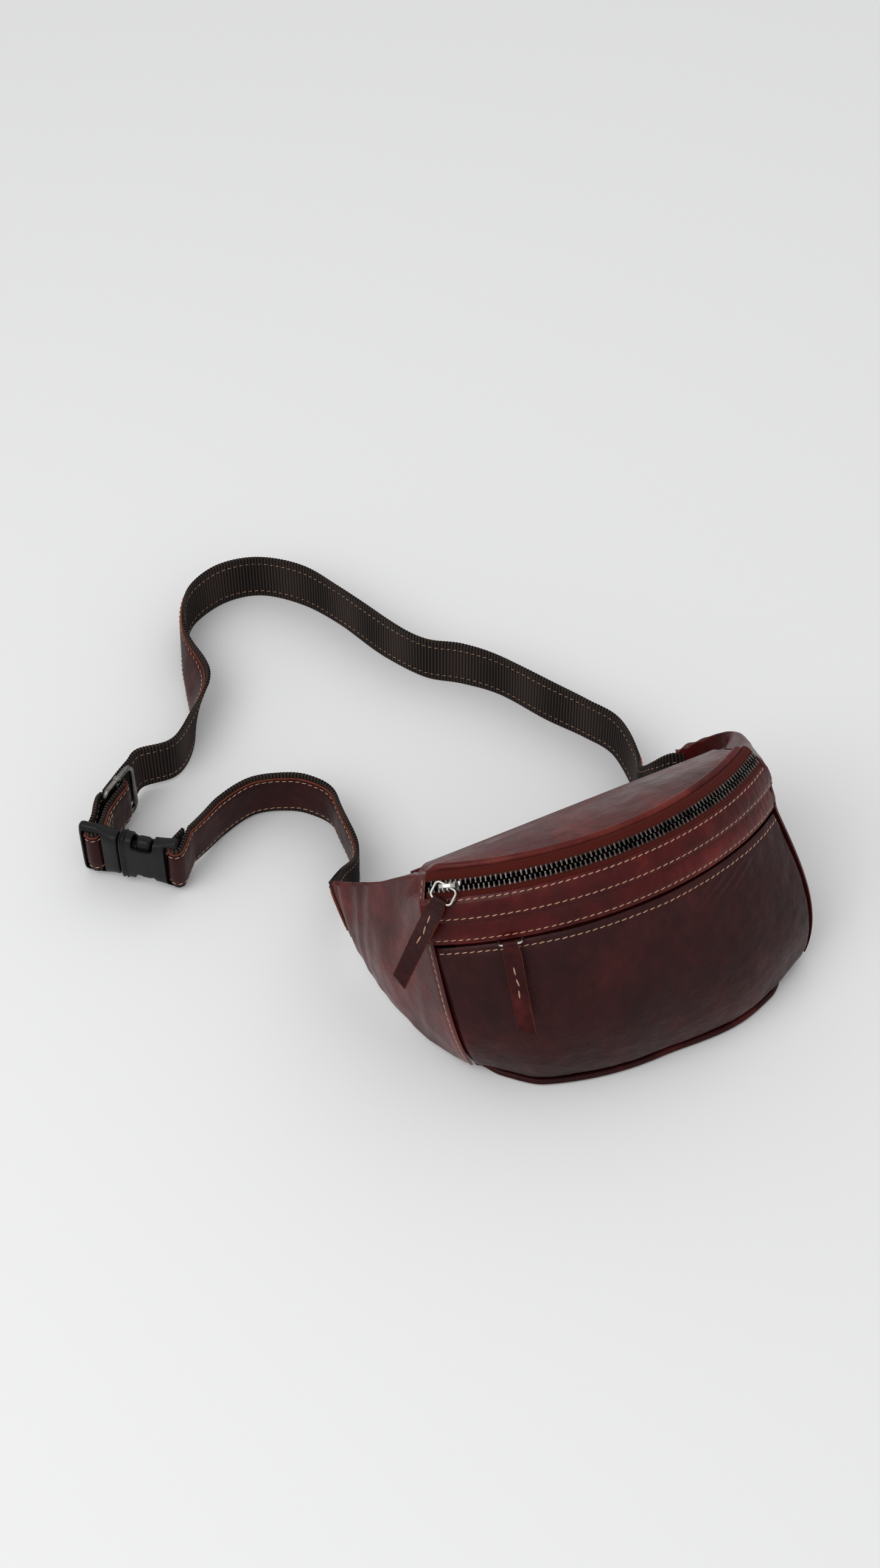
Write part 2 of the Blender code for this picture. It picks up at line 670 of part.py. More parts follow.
def build_straps():
    clear = ADJUSTER_COLLAR + 0.0005 + WEBBING / 2
    arrive = [near_bar(SOCKET_BAR, WRAP, 0.017), near_bar(SOCKET_BAR, WRAP, 0.007)]
    turn = wrap_points(SOCKET_BAR, 2 * math.pi, math.pi)
    fold = [near_bar(SOCKET_BAR, -WRAP, 0.005), near_bar(SOCKET_BAR, -WRAP * 0.5, 0.010),
            near_bar(SOCKET_BAR, 0.0002, 0.015)]
    run = strap_line(SHORT_ROUTE + arrive[:1], STRAP_STEP)
    bend = strap_line(arrive + turn + fold, BEND_STEP)
    strap_pair("short_strap", run + bend[1:], 1, SHORT_LEAD)
    threaded = [adjuster_point(clear, along) for along in (0.030, 0.018, 0.005, -0.0105)]
    strap_pair("long_strap", strap_line(LONG_ROUTE + threaded, STRAP_STEP * 0.9), -1, LONG_LEAD)


def build_buckle():
    here = buckle_frame()

    def piece(name, low, high, bevel=0.0, segments=2):
        size = [b - a for a, b in zip(low, high)]
        middle = Vector([(a + b) / 2 for a, b in zip(low, high)])
        return block(name, size, here @ Matrix.Translation(middle), black_plastic(), bevel, segments)
    half = BUCKLE_WIDTH / 2
    socket = piece("buckle_socket", (-0.0085, -0.0065, -0.0205), (0.0225, 0.0065, 0.0205), 0.004, 3)
    tail = piece("socket_tail", (0.0190, -0.0048, -half), (0.0312, 0.0048, half), 0.0025)
    boolean(socket, tail, "UNION")
    for n, x in enumerate((-0.0068, -0.0042)):
        low, high = (x - 0.0006, -0.0070, -0.0210), (x + 0.0006, 0.0070, 0.0210)
        rib = piece(f"socket_rib_{n}", low, high, 0.0004, 1)
        boolean(socket, rib, "UNION")
    boolean(socket, piece("socket_bore", (-0.0200, -0.0046, -0.0182), (0.0190, 0.0046, 0.0182)), "DIFFERENCE")
    for n, side in enumerate((-1, 1)):
        low, high = sorted((side * 0.0120, side * 0.0300))
        notch = piece(f"socket_window_{n}", (0.0005, -0.02, low), (0.0150, 0.02, high), 0.003)
        boolean(socket, notch, "DIFFERENCE")
    slot = piece("socket_slot", (0.0222, -0.02, -0.0197), (0.0350, 0.02, 0.0197), 0.0008, 1)
    boolean(socket, slot, "DIFFERENCE")
    bar = piece("socket_bar", (SOCKET_BAR - 0.0016, -0.0016, -0.0212),
                (SOCKET_BAR + 0.0016, 0.0016, 0.0212))
    boolean(socket, bar, "UNION")

    plug = piece("buckle_plug", (-0.0195, -0.0060, -0.0195), (-0.0090, 0.0060, 0.0195), 0.004, 3)
    boolean(plug, piece("plug_frame", (-0.0355, -0.0042, -half), (-0.0180, 0.0042, half), 0.003), "UNION")
    window = piece("plug_window", (-0.0336, -0.02, -0.0197), (-0.0198, 0.02, 0.0197), 0.0008, 1)
    boolean(plug, window, "DIFFERENCE")
    bar = piece("plug_bar", (PLUG_BAR - 0.0015, -0.0013, -0.0210), (PLUG_BAR + 0.0015, 0.0013, 0.0210))
    boolean(plug, bar, "UNION")
    spigot = piece("plug_spigot", (-0.0110, -0.0042, -0.0070), (-0.0050, 0.0042, 0.0070))
    boolean(plug, spigot, "UNION")
    prong = piece("plug_prong", (-0.0110, -0.0025, -0.0040), (0.0150, 0.0025, 0.0040), 0.001, 1)
    boolean(plug, prong, "UNION")
    for name, side in (("latch_arm_upper", 1), ("latch_arm_lower", -1)):
        low, high = sorted((side * 0.0085, side * 0.0122))
        arm = piece(name, (-0.0085, -0.0030, low), (0.0120, 0.0030, high), 0.0008, 1)
        low, high = sorted((side * 0.0100, side * 0.0186))
        pad = piece(name + "_pad", (0.0028, -0.0038, low), (0.0140, 0.0038, high), 0.0028)
        boolean(arm, pad, "UNION")


def build_adjuster():
    def upright(along, height):
        point = adjuster_point(0, along)
        return Vector((point.x, point.y, height))
    half = ADJUSTER_LENGTH / 2 - ADJUSTER_ROD
    low = ADJUSTER_ROD + 0.0002
    high = ADJUSTER_HEIGHT - ADJUSTER_ROD
    corner = 0.006
    points = []
    middles = [(half - corner, low + corner), (half - corner, high - corner),
               (-half + corner, high - corner), (-half + corner, low + corner)]
    for n, (x, z) in enumerate(middles):
        for k in range(4):
            turn = math.radians(-90 + 90 * n + 30 * k)
            points.append(upright(x + corner * math.cos(turn), z + corner * math.sin(turn)))
    frame = as_mesh(tube("adjuster", points, ADJUSTER_ROD, gunmetal(), closed=True))
    bar = as_mesh(tube("adjuster_bar", [upright(0, low), upright(0, high)], ADJUSTER_ROD * 0.9, gunmetal()))
    boolean(frame, bar, "UNION")
    for n, height in enumerate((low, high)):
        shape = bmesh.new()
        bmesh.ops.create_cone(shape, cap_ends=True, segments=16, radius1=ADJUSTER_COLLAR,
                              radius2=ADJUSTER_COLLAR, depth=0.0032)
        aim = (upright(1, 0) - upright(0, 0)).to_track_quat("Z", "Y").to_matrix().to_4x4()
        middle = upright(0, max(height, ADJUSTER_COLLAR + 0.0002))
        bmesh.ops.transform(shape, matrix=Matrix.Translation(middle) @ aim, verts=shape.verts)
        boolean(frame, from_bmesh(f"adjuster_collar_{n}", shape, gunmetal()), "UNION")


def build_buckle_loop():
    clear = ADJUSTER_COLLAR + 0.0005 + WEBBING / 2
    start = [adjuster_point(clear, -0.0125), adjuster_point(clear, -0.0180), near_bar(PLUG_BAR, -WRAP, 0.012)]
    turn = wrap_points(PLUG_BAR, math.pi, 2 * math.pi)
    back = [near_bar(PLUG_BAR, WRAP, 0.010), adjuster_point(-clear - 0.0012, -0.020),
            adjuster_point(-clear, -0.006), adjuster_point(-clear, 0.0)]
    hook = [adjuster_point(-clear * math.cos(t), clear * math.sin(t)) for t in (0.5, 1.0, 1.5)]
    strap_pair("plug_loop", strap_line(start + turn + back + hook, BEND_STEP), -1)


def set_origin(name, point):
    """Moves an object's origin to its joint without moving its shape."""
    thing = bpy.data.objects[name]
    thing.data.transform(Matrix.Translation(-point))
    thing.location = point


def place_origins():
    axis = lean(0, FRONT_AXIS, ZIP_HEIGHT)
    home = frame_at(on_zip, MAIN_HOME, 0)
    base = pull_frame(home, RING_OUT, MAIN_SKEW, MAIN_DIP)
    far_bar = base @ Vector((0, RING_LENGTH, 0))
    pocket = frame_at(pocket_chain, POCKET_HOME, 0) @ Vector((0, 0, 0.0036 + POCKET_RING_LENGTH))
    here = buckle_frame()
    origins = {"zip_slider": axis, "zip_pull_ring": base.translation, "zip_pull_tab": far_bar,
               "pocket_slider": axis, "pocket_pull_ring": axis, "pocket_pull_tab": pocket,
               "buckle_plug": here.translation,
               "latch_arm_upper": here @ Vector((-0.0085, 0, 0.0104)),
               "latch_arm_lower": here @ Vector((-0.0085, 0, -0.0104))}
    for name, point in origins.items():
        set_origin(name, point)


def main():
    global PACK, CUTTERS
    clear_scene()
    PACK = new_collection("waist_pack")
    CUTTERS = new_collection("cutters")
    build_bag()
    build_zips()
    build_straps()
    build_buckle()
    build_adjuster()
    build_buckle_loop()
    place_origins()


main()
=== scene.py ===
import math
import bmesh
import bpy
from mathutils import Matrix, Vector, noise


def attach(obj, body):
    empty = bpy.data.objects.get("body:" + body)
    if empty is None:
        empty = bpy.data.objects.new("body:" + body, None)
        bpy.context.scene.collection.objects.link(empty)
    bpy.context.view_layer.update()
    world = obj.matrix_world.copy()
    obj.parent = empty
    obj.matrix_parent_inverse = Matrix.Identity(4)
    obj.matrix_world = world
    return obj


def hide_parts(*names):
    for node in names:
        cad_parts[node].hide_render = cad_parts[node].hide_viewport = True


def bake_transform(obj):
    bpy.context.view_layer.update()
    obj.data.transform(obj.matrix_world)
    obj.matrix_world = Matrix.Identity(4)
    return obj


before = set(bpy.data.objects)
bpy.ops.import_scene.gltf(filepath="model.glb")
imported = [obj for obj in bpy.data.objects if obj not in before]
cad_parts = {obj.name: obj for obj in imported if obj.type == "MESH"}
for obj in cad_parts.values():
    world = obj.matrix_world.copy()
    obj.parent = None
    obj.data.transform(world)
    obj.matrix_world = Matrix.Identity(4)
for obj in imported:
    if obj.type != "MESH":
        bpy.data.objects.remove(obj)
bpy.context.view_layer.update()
print("frame loaded")

# The bag's shape, in metres, as part.py has it.
bag = dict(lean=math.radians(27.5), backEdge=0.030, backHeight=0.1243, backHalf=0.107, axis=0.0948,
           halfAngle=math.radians(41.8), radius=0.1760, zipRadius=0.1697, zipHeight=0.1271,
           zipSlope=math.radians(60), pipingRadius=0.1610, pipingHeight=0.1346, slit=0.0900,
           seam=0.1058, bandTop=0.1214, baseRadius=0.1916, baseHalf=0.1060, baseDepth=0.0647,
           rightReach=0.0120, rightSwell=0.0093, leftRound=0.0100, bulge=0.0135, dome=0.0060,
           leather=0.0018, piping=0.0021)


def setInputs(node, values):
    for key, value in values.items():
        node.inputs[key].default_value = value
    return node


def newMaterial(name, colour, rough, metal=0.0):
    mat = bpy.data.materials.new(name)
    mat.use_nodes = True
    shader = mat.node_tree.nodes["Principled BSDF"]
    setInputs(shader, {"Base Color": (*colour, 1), "Roughness": rough, "Metallic": metal})
    return mat, shader


def addNode(mat, kind, values=None, **settings):
    node = mat.node_tree.nodes.new(kind)
    for key, value in settings.items():
        setattr(node, key, value)
    return setInputs(node, values or {})


def link(mat, a, b):
    mat.node_tree.links.new(a, b)


def objectCoords(mat):
    return addNode(mat, "ShaderNodeTexCoord").outputs["Object"]


def noiseTexture(mat, coords, scale, detail=4.0, rough=0.55, stretch=(1, 1, 1)):
    mapping = addNode(mat, "ShaderNodeMapping", {"Scale": stretch})
    link(mat, coords, mapping.inputs["Vector"])
    tex = addNode(mat, "ShaderNodeTexNoise", {"Scale": scale, "Detail": detail, "Roughness": rough})
    link(mat, mapping.outputs["Vector"], tex.inputs["Vector"])
    return tex.outputs["Fac"]


def ramp(mat, source, stops):
    node = addNode(mat, "ShaderNodeValToRGB")
    elements = node.color_ramp.elements
    while len(elements) < len(stops):
        elements.new(0.5)
    for element, (place, colour) in zip(elements, stops):
        element.position = place
        element.color = (*colour, 1)
    link(mat, source, node.inputs["Fac"])
    return node.outputs["Color"]


def mapRange(mat, source, values):
    node = addNode(mat, "ShaderNodeMapRange", values)
    link(mat, source, node.inputs["Value"])
    return node.outputs["Result"]


def bumpInto(mat, shader, layers):
    last = None
    for height, strength, distance in layers:
        bump = addNode(mat, "ShaderNodeBump", {"Strength": strength, "Distance": distance})
        link(mat, height, bump.inputs["Height"])
        if last:
            link(mat, last, bump.inputs["Normal"])
        last = bump.outputs["Normal"]
    link(mat, last, shader.inputs["Normal"])


def creaseCells(mat, coords):
    crease = addNode(mat, "ShaderNodeTexVoronoi", {"Scale": 120, "Randomness": 1.0},
                     feature="DISTANCE_TO_EDGE")
    warped = addNode(mat, "ShaderNodeVectorMath", operation="ADD")
    link(mat, coords, warped.inputs[0])
    small = addNode(mat, "ShaderNodeVectorMath", {"Scale": 0.02}, operation="SCALE")
    colour = addNode(mat, "ShaderNodeTexNoise", {"Scale": 90})
    link(mat, coords, colour.inputs["Vector"])
    link(mat, colour.outputs["Color"], small.inputs[0])
    link(mat, small.outputs["Vector"], warped.inputs[1])
    link(mat, warped.outputs["Vector"], crease.inputs["Vector"])
    return mapRange(mat, crease.outputs["Distance"], {"From Max": 0.10})


def leatherMaterial(name, dark, mid, light, rough, wrinkle, coat=0.02, gloss=0.10):
    mat, shader = newMaterial(name, mid, 0.42)
    coords = objectCoords(mat)
    cloud = noiseTexture(mat, coords, 22, 5, 0.6)
    fleck = noiseTexture(mat, coords, 140, 4, 0.6, (1, 1, 0.4))
    base = ramp(mat, cloud, [(0.30, dark), (0.52, mid), (0.74, light)])
    flecks = ramp(mat, fleck, [(0.42, (0.72, 0.72, 0.72)), (0.62, (1.12, 1.10, 1.08))])
    mix = addNode(mat, "ShaderNodeMix", {"Factor": 0.55}, data_type="RGBA", blend_type="MULTIPLY")
    link(mat, base, mix.inputs["A"])
    link(mat, flecks, mix.inputs["B"])
    link(mat, mix.outputs["Result"], shader.inputs["Base Color"])
    worn = mapRange(mat, noiseTexture(mat, coords, 60, 5, 0.65),
                    {"From Min": 0.3, "From Max": 0.7, "To Min": rough[0], "To Max": rough[1]})
    link(mat, worn, shader.inputs["Roughness"])
    setInputs(shader, {"Coat Weight": coat, "Coat Roughness": 0.32, "Specular IOR Level": gloss})
    cells = addNode(mat, "ShaderNodeTexVoronoi", {"Scale": 900}, feature="DISTANCE_TO_EDGE")
    link(mat, coords, cells.inputs["Vector"])
    bumpInto(mat, shader, [(noiseTexture(mat, coords, 45, 6, 0.65), wrinkle, 0.0012),
                           (creaseCells(mat, coords), 0.22, 0.0004),
                           (cells.outputs["Distance"], 0.16, 0.0002)])
    return mat


def wovenMaterial(name, dark, light, across, along, herring=False):
    mat, shader = newMaterial(name, dark, 0.85)
    split = addNode(mat, "ShaderNodeSeparateXYZ")
    link(mat, addNode(mat, "ShaderNodeUVMap").outputs["UV"], split.inputs["Vector"])

    def sums(operation, a, b=0):
        node = addNode(mat, "ShaderNodeMath", operation=operation)
        for socket, value in zip(node.inputs, (a, b)):
            if isinstance(value, (int, float)):
                socket.default_value = value
            else:
                link(mat, value, socket)
        return node.outputs["Value"]
    run = split.outputs["X"]
    side = split.outputs["Y"]
    if herring:
        run = sums("ADD", run, sums("PINGPONG", side, herring))
    ribs = sums("SINE", sums("MULTIPLY", run, 2 * math.pi / along))
    threads = sums("SINE", sums("MULTIPLY", side, 2 * math.pi / across))
    height = sums("ADD", sums("MULTIPLY", ribs, 0.42), sums("MULTIPLY", threads, 0.08))
    height = sums("ADD", height, 0.5)
    fuzz = noiseTexture(mat, objectCoords(mat), 500, 3, 0.7)
    tone = sums("ADD", sums("MULTIPLY", height, 0.8), sums("MULTIPLY", fuzz, 0.2))
    link(mat, ramp(mat, tone, [(0.25, dark), (0.75, light)]), shader.inputs["Base Color"])
    setInputs(shader, {"Sheen Weight": 0.03, "Sheen Roughness": 0.5, "Specular IOR Level": 0.10})
    bumpInto(mat, shader, [(height, 0.7, 0.0005), (fuzz, 0.3, 0.0002)])
    return mat


def metalMaterial(name, colour, rough, wear):
    mat, shader = newMaterial(name, colour, rough, 1.0)
    coords = objectCoords(mat)
    brushed = noiseTexture(mat, coords, 900, 3, 0.6, (1, 1, 0.08))
    cloud = noiseTexture(mat, coords, 160, 3, 0.6)
    link(mat, ramp(mat, cloud, [(0.35, colour), (0.75, wear)]), shader.inputs["Base Color"])
    link(mat, mapRange(mat, cloud, {"To Min": rough * 0.75, "To Max": rough * 1.35}),
         shader.inputs["Roughness"])
    bumpInto(mat, shader, [(brushed, 0.12, 0.0001)])
    return mat


def plasticMaterial():
    mat, shader = newMaterial("mouldedPlastic", (0.0045, 0.0045, 0.0050), 0.42)
    setInputs(shader, {"Specular IOR Level": 0.19})
    coords = objectCoords(mat)
    cloud = noiseTexture(mat, coords, 70, 3, 0.6)
    link(mat, mapRange(mat, cloud, {"To Min": 0.32, "To Max": 0.50}), shader.inputs["Roughness"])
    link(mat, ramp(mat, cloud, [(0.3, (0.0035, 0.0035, 0.0040)), (0.8, (0.0070, 0.0070, 0.0078))]),
         shader.inputs["Base Color"])
    bumpInto(mat, shader, [(noiseTexture(mat, coords, 1800, 3, 0.7), 0.10, 0.0001)])
    return mat


def threadMaterial():
    mat, shader = newMaterial("tanThread", (0.36, 0.20, 0.12), 0.6)
    twist = noiseTexture(mat, objectCoords(mat), 1500, 2, 0.6, (1, 0.4, 1))
    link(mat, ramp(mat, twist, [(0.3, (0.24, 0.125, 0.075)), (0.7, (0.46, 0.27, 0.17))]),
         shader.inputs["Base Color"])
    setInputs(shader, {"Sheen Weight": 0.2})
    bumpInto(mat, shader, [(twist, 0.5, 0.0002)])
    return mat


oxblood = leatherMaterial("oxbloodLeather", (0.034, 0.0038, 0.0038), (0.068, 0.0066, 0.0058),
                          (0.125, 0.0165, 0.0125), (0.26, 0.46), 0.35, coat=0.04, gloss=0.30)
bandLeather = leatherMaterial("bandLeather", (0.034, 0.0030, 0.0030), (0.062, 0.0046, 0.0042),
                              (0.130, 0.0175, 0.0140), (0.20, 0.38), 0.55, coat=0.10)
darkOxblood = leatherMaterial("darkOxbloodLeather", (0.0165, 0.0028, 0.0030), (0.028, 0.0040, 0.0042),
                              (0.052, 0.0080, 0.0078), (0.32, 0.52), 0.42, coat=0.0, gloss=0.15)
pipingLeather = leatherMaterial("pipingLeather", (0.042, 0.0046, 0.0038), (0.080, 0.0080, 0.0060),
                                (0.165, 0.0270, 0.0190), (0.25, 0.42), 0.25, coat=0.10)
strapLeather = leatherMaterial("strapLeather", (0.015, 0.0020, 0.0022), (0.028, 0.0030, 0.0030),
                               (0.095, 0.0130, 0.0115), (0.34, 0.52), 0.25, coat=0.03)
rawEdge = leatherMaterial("rawLeatherEdge", (0.10, 0.022, 0.012), (0.19, 0.048, 0.024),
                          (0.30, 0.095, 0.045), (0.6, 0.8), 0.5, coat=0.0)
tapeCloth = wovenMaterial("zipTapeCloth", (0.036, 0.0040, 0.0024), (0.098, 0.0105, 0.0055),
                          across=0.0006, along=0.0013, herring=0.0030)
webbingCloth = wovenMaterial("beltWebbing", (0.0020, 0.0015, 0.0013), (0.0420, 0.0280, 0.0230),
                             across=0.0011, along=0.0023)
liningCloth = wovenMaterial("liningCotton", (0.03, 0.02, 0.02), (0.07, 0.05, 0.045),
                            across=0.0008, along=0.0008)
gunmetal = metalMaterial("gunmetal", (0.11, 0.105, 0.10), 0.26, (0.24, 0.23, 0.215))
toothMetal = metalMaterial("toothMetal", (0.040, 0.038, 0.036), 0.36, (0.20, 0.19, 0.175))
nickel = metalMaterial("brushedNickel", (0.40, 0.38, 0.355), 0.27, (0.58, 0.555, 0.52))
plastic = plasticMaterial()
thread = threadMaterial()
print("materials ready")

made = []


def keep(obj, body, node=None, slotName=None):
    if body:
        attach(obj, body)
    for name in ([node] if isinstance(node, str) else node or []):
        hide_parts(name)
    made.append(obj)
    return obj


def newObject(name, data):
    obj = bpy.data.objects.new(name, data)
    bpy.context.scene.collection.objects.link(obj)
    return obj


def fromBmesh(name, shape, mats, smooth=True):
    data = bpy.data.meshes.new(name)
    shape.to_mesh(data)
    shape.free()
    for mat in (mats if isinstance(mats, (list, tuple)) else [mats]):
        data.materials.append(mat)
    for face in data.polygons:
        face.use_smooth = smooth
    return newObject(name, data)


def evaluated(obj):
    bpy.context.view_layer.update()
    return bpy.data.meshes.new_from_object(obj.evaluated_get(bpy.context.evaluated_depsgraph_get()))


def bake(obj):
    data = evaluated(obj)
    obj.modifiers.clear()
    obj.data = data
    return obj


def outward(shape):
    bmesh.ops.recalc_face_normals(shape, faces=shape.faces)
    if shape.calc_volume(signed=True) < 0:
        bmesh.ops.reverse_faces(shape, faces=shape.faces)


def smoothEdges(obj, angle=35):
    obj.data.shade_smooth()
    shape = bmesh.new()
    shape.from_mesh(obj.data)
    limit = math.radians(angle)
    for edge in shape.edges:
        edge.smooth = len(edge.link_faces) == 2 and edge.calc_face_angle(0) < limit
    shape.to_mesh(obj.data)
    shape.free()
    return obj


def softenEdges(obj, width, segments, angle):
    edge = obj.modifiers.new("edge", "BEVEL")
    edge.width = width
    edge.segments = segments
    edge.limit_method = "ANGLE"
    edge.angle_limit = math.radians(angle)


def panel(name, place, columns, rows, thickness, mats, size=(1, 1), offset=0.0, rim=0, soften=0.0004):
    shape = bmesh.new()
    bmesh.ops.create_grid(shape, x_segments=columns, y_segments=rows, size=0.5)
    layer = shape.loops.layers.uv.new("cloth")
    for face in shape.faces:
        for corner in face.loops:
            x, y, z = corner.vert.co
            corner[layer].uv = ((x + 0.5) * size[0], (y + 0.5) * size[1])
    for point in shape.verts:
        point.co = place(point.co.x + 0.5, point.co.y + 0.5)
    obj = fromBmesh(name, shape, mats)
    wall = obj.modifiers.new("wall", "SOLIDIFY")
    wall.thickness = thickness
    wall.offset = offset
    wall.use_even_offset = True
    wall.material_offset_rim = rim
    if soften:
        softenEdges(obj, soften, 2, 60)
    bake(obj)
    shape = bmesh.new()
    shape.from_mesh(obj.data)
    outward(shape)
    shape.to_mesh(obj.data)
    shape.free()
    return smoothEdges(obj, 50)


def tube(name, points, radius, mat, closed=False, sides=6):
    data = bpy.data.curves.new(name, "CURVE")
    data.dimensions = "3D"
    data.bevel_depth = radius
    data.bevel_resolution = sides
    data.use_fill_caps = not closed
    spline = data.splines.new("POLY")
    spline.points.add(len(points) - 1)
    for knot, point in zip(spline.points, points):
        knot.co = (*point, 1.0)
    spline.use_cyclic_u = closed
    obj = newObject(name, data)
    shape = bmesh.new()
    shape.from_mesh(evaluated(obj))
    bpy.data.objects.remove(obj)
    bmesh.ops.remove_doubles(shape, verts=shape.verts, dist=0.000005)
    outward(shape)
    return fromBmesh(name, shape, mat)


def roundedLoop(half, low, high, corner, parts):
    points = []
    for n, (x, y) in enumerate([(half - corner, low + corner), (half - corner, high - corner),
                                (-half + corner, high - corner), (-half + corner, low + corner)]):
        for k in range(parts + 1):
            turn = math.radians(-90 + 90 * n + 90 / parts * k)
            points.append((x + corner * math.cos(turn), y + corner * math.sin(turn)))
    return points


def blendFour(a, b, c, d, t):
    return 0.5 * (2 * b + (c - a) * t + (2 * a - 5 * b + 4 * c - d) * t * t
                  + (3 * b - a - 3 * c + d) * t ** 3)


def runOf(points):
    run = [0.0]
    for a, b in zip(points, points[1:]):
        run.append(run[-1] + (b - a).length)
    return run


# Where each goal falls along a line: the knot before it, and the share of the way to the next.
def seats(run, goals):
    k = 0
    for goal in goals:
        while k < len(run) - 2 and run[k + 1] < goal:
            k += 1
        yield k, (goal - run[k]) / max(run[k + 1] - run[k], 1e-9)


def spread(fine, count):
    run = runOf(fine)
    goals = [run[-1] * n / (count - 1) for n in range(count)]
    return [fine[k].lerp(fine[k + 1], min(max(share, 0), 1)) for k, share in seats(run, goals)]


def through(points, count):
    knots = [Vector(p) for p in points]
    ends = [knots[0] * 2 - knots[1]] + knots + [knots[-1] * 2 - knots[-2]]
    fine = [blendFour(*ends[k:k + 4], step / 24) for k in range(len(knots) - 1) for step in range(24)]
    return spread(fine + [knots[-1]], count)


def normalAt(place, u, v, turn=1):
    e = 0.004
    du = place(min(u + e, 1), v) - place(max(u - e, 0), v)
    dv = place(u, min(v + e, 1)) - place(u, max(v - e, 0))
    return du.cross(dv).normalized() * turn


def dressed(place, lift, turn=1):
    def put(u, v):
        p = place(u, v)
        return p + normalAt(place, u, v, turn) * lift(u, v, p)
    return put


def fold(p, scale, stretch=(1, 1, 1), seed=0.0, octaves=3):
    q = Vector((p.x * stretch[0] + seed, p.y * stretch[1] - seed, p.z * stretch[2] + seed * 2)) * scale
    return noise.fractal(q, 0.9, 2.1, octaves)


def hump(distance, width):
    return math.exp(-(distance / width) ** 2)


def stitchLine(name, places, normals, pitch, body, length=0.0036, width=0.00042, slant=9):
    run = runOf(places)
    count = max(1, int(run[-1] / pitch))
    shape = bmesh.new()
    for k, share in seats(run, [(n + 0.5) * run[-1] / count for n in range(count)]):
        middle = places[k].lerp(places[k + 1], share)
        along = (places[k + 1] - places[k]).normalized()
        rise = normals[k].lerp(normals[k + 1], share).normalized()
        side = rise.cross(along).normalized()
        along = side.cross(rise)
        turn = Matrix((along, side, rise)).transposed().to_4x4()
        tilt = math.radians(slant + 5 * noise.noise(middle * 900))
        size = Matrix.Diagonal((length * (1 + 0.1 * noise.noise(middle * 500)) / 2, width, width * 0.85, 1))
        spot = Matrix.Translation(middle + rise * width * 0.25) @ turn @ Matrix.Rotation(tilt, 4, "Z") @ size
        bmesh.ops.create_uvsphere(shape, u_segments=6, v_segments=6, radius=1.0,
                                  matrix=spot @ Matrix.Rotation(math.pi / 2, 4, "Y"))
    return keep(fromBmesh(name, shape, thread), body)


def surfaceStitch(name, place, path, turn=1, pitch=0.0046):
    normals = [normalAt(place, u, v, turn) for u, v in path]
    stitchLine(name, [place(u, v) for u, v in path], normals, pitch, "bag")


def line(a, b, count):
    return [(a[0] + (b[0] - a[0]) * k / count, a[1] + (b[1] - a[1]) * k / count) for k in range(count + 1)]


def ease(t):
    t = min(max(t, 0.0), 1.0)
    return t * t * (3 - 2 * t)


def lean(x, y, z):
    c = math.cos(bag["lean"])
    s = math.sin(bag["lean"])
    return Vector((x, y * c + z * s + bag["backEdge"], z * c - y * s))


def onArc(radius, angle, height):
    return lean(radius * math.sin(angle), bag["axis"] - radius * math.cos(angle), height)


def sideAngle(u):
    return (2 * u - 1) * bag["halfAngle"]


def bandRadius(height):
    rise = (height - bag["slit"]) / (bag["bandTop"] - bag["slit"])
    return bag["radius"] - 0.0028 * rise * rise


def zipOffset(along, out=0.0):
    c = math.cos(bag["zipSlope"])
    s = math.sin(bag["zipSlope"])
    return bag["zipRadius"] + along * c + out * s, bag["zipHeight"] - along * s + out * c


def bandPlace(low, high):
    def place(u, v):
        height = low + (high - low) * v
        return onArc(bandRadius(height), sideAngle(u), height)
    return place


def baseEdge(u, inset=0.0, height=0.0):
    half = math.asin(bag["baseHalf"] / bag["baseRadius"])
    angle = (2 * u - 1) * half
    radius = bag["baseRadius"] - inset
    centre = bag["baseRadius"] + bag["backEdge"] - bag["baseDepth"]
    right = max(0.0, 2 * u - 1)
    left = max(0.0, 1 - 2 * u)
    return Vector((radius * math.sin(angle) + bag["rightReach"] * right ** 2,
                   centre - radius * math.cos(angle) - bag["rightSwell"] * ease(right / 0.6)
                   + bag["leftRound"] * ease((left - 0.66) / 0.3), height))


def pocketPlace(u, v):
    top = onArc(bag["radius"], sideAngle(u), bag["slit"] - 0.0009)
    low = baseEdge(u, 0.0002, 0.0062)
    out = Vector(((2 * u - 1) * 0.55, -1, 0.18)).normalized()
    return low.lerp(top, v) + out * (bag["bulge"] * math.sin(math.pi * v ** 0.85))


def seamPlace(side, v):
    u = 1 if side > 0 else 0
    share = 0.62  # the pocket panel's part of the seam
    if v <= share:
        return pocketPlace(u, v / share)
    crown = bag["pipingHeight"] - 0.002
    height = bag["slit"] + (crown - bag["slit"]) * (v - share) / (1 - share)
    sweep = bandRadius(min(height, bag["bandTop"]))
    over = max(0.0, (height - bag["bandTop"]) / (crown - bag["bandTop"]))
    return onArc(sweep + (bag["pipingRadius"] + 0.0005 - sweep) * over, side * bag["halfAngle"], height)


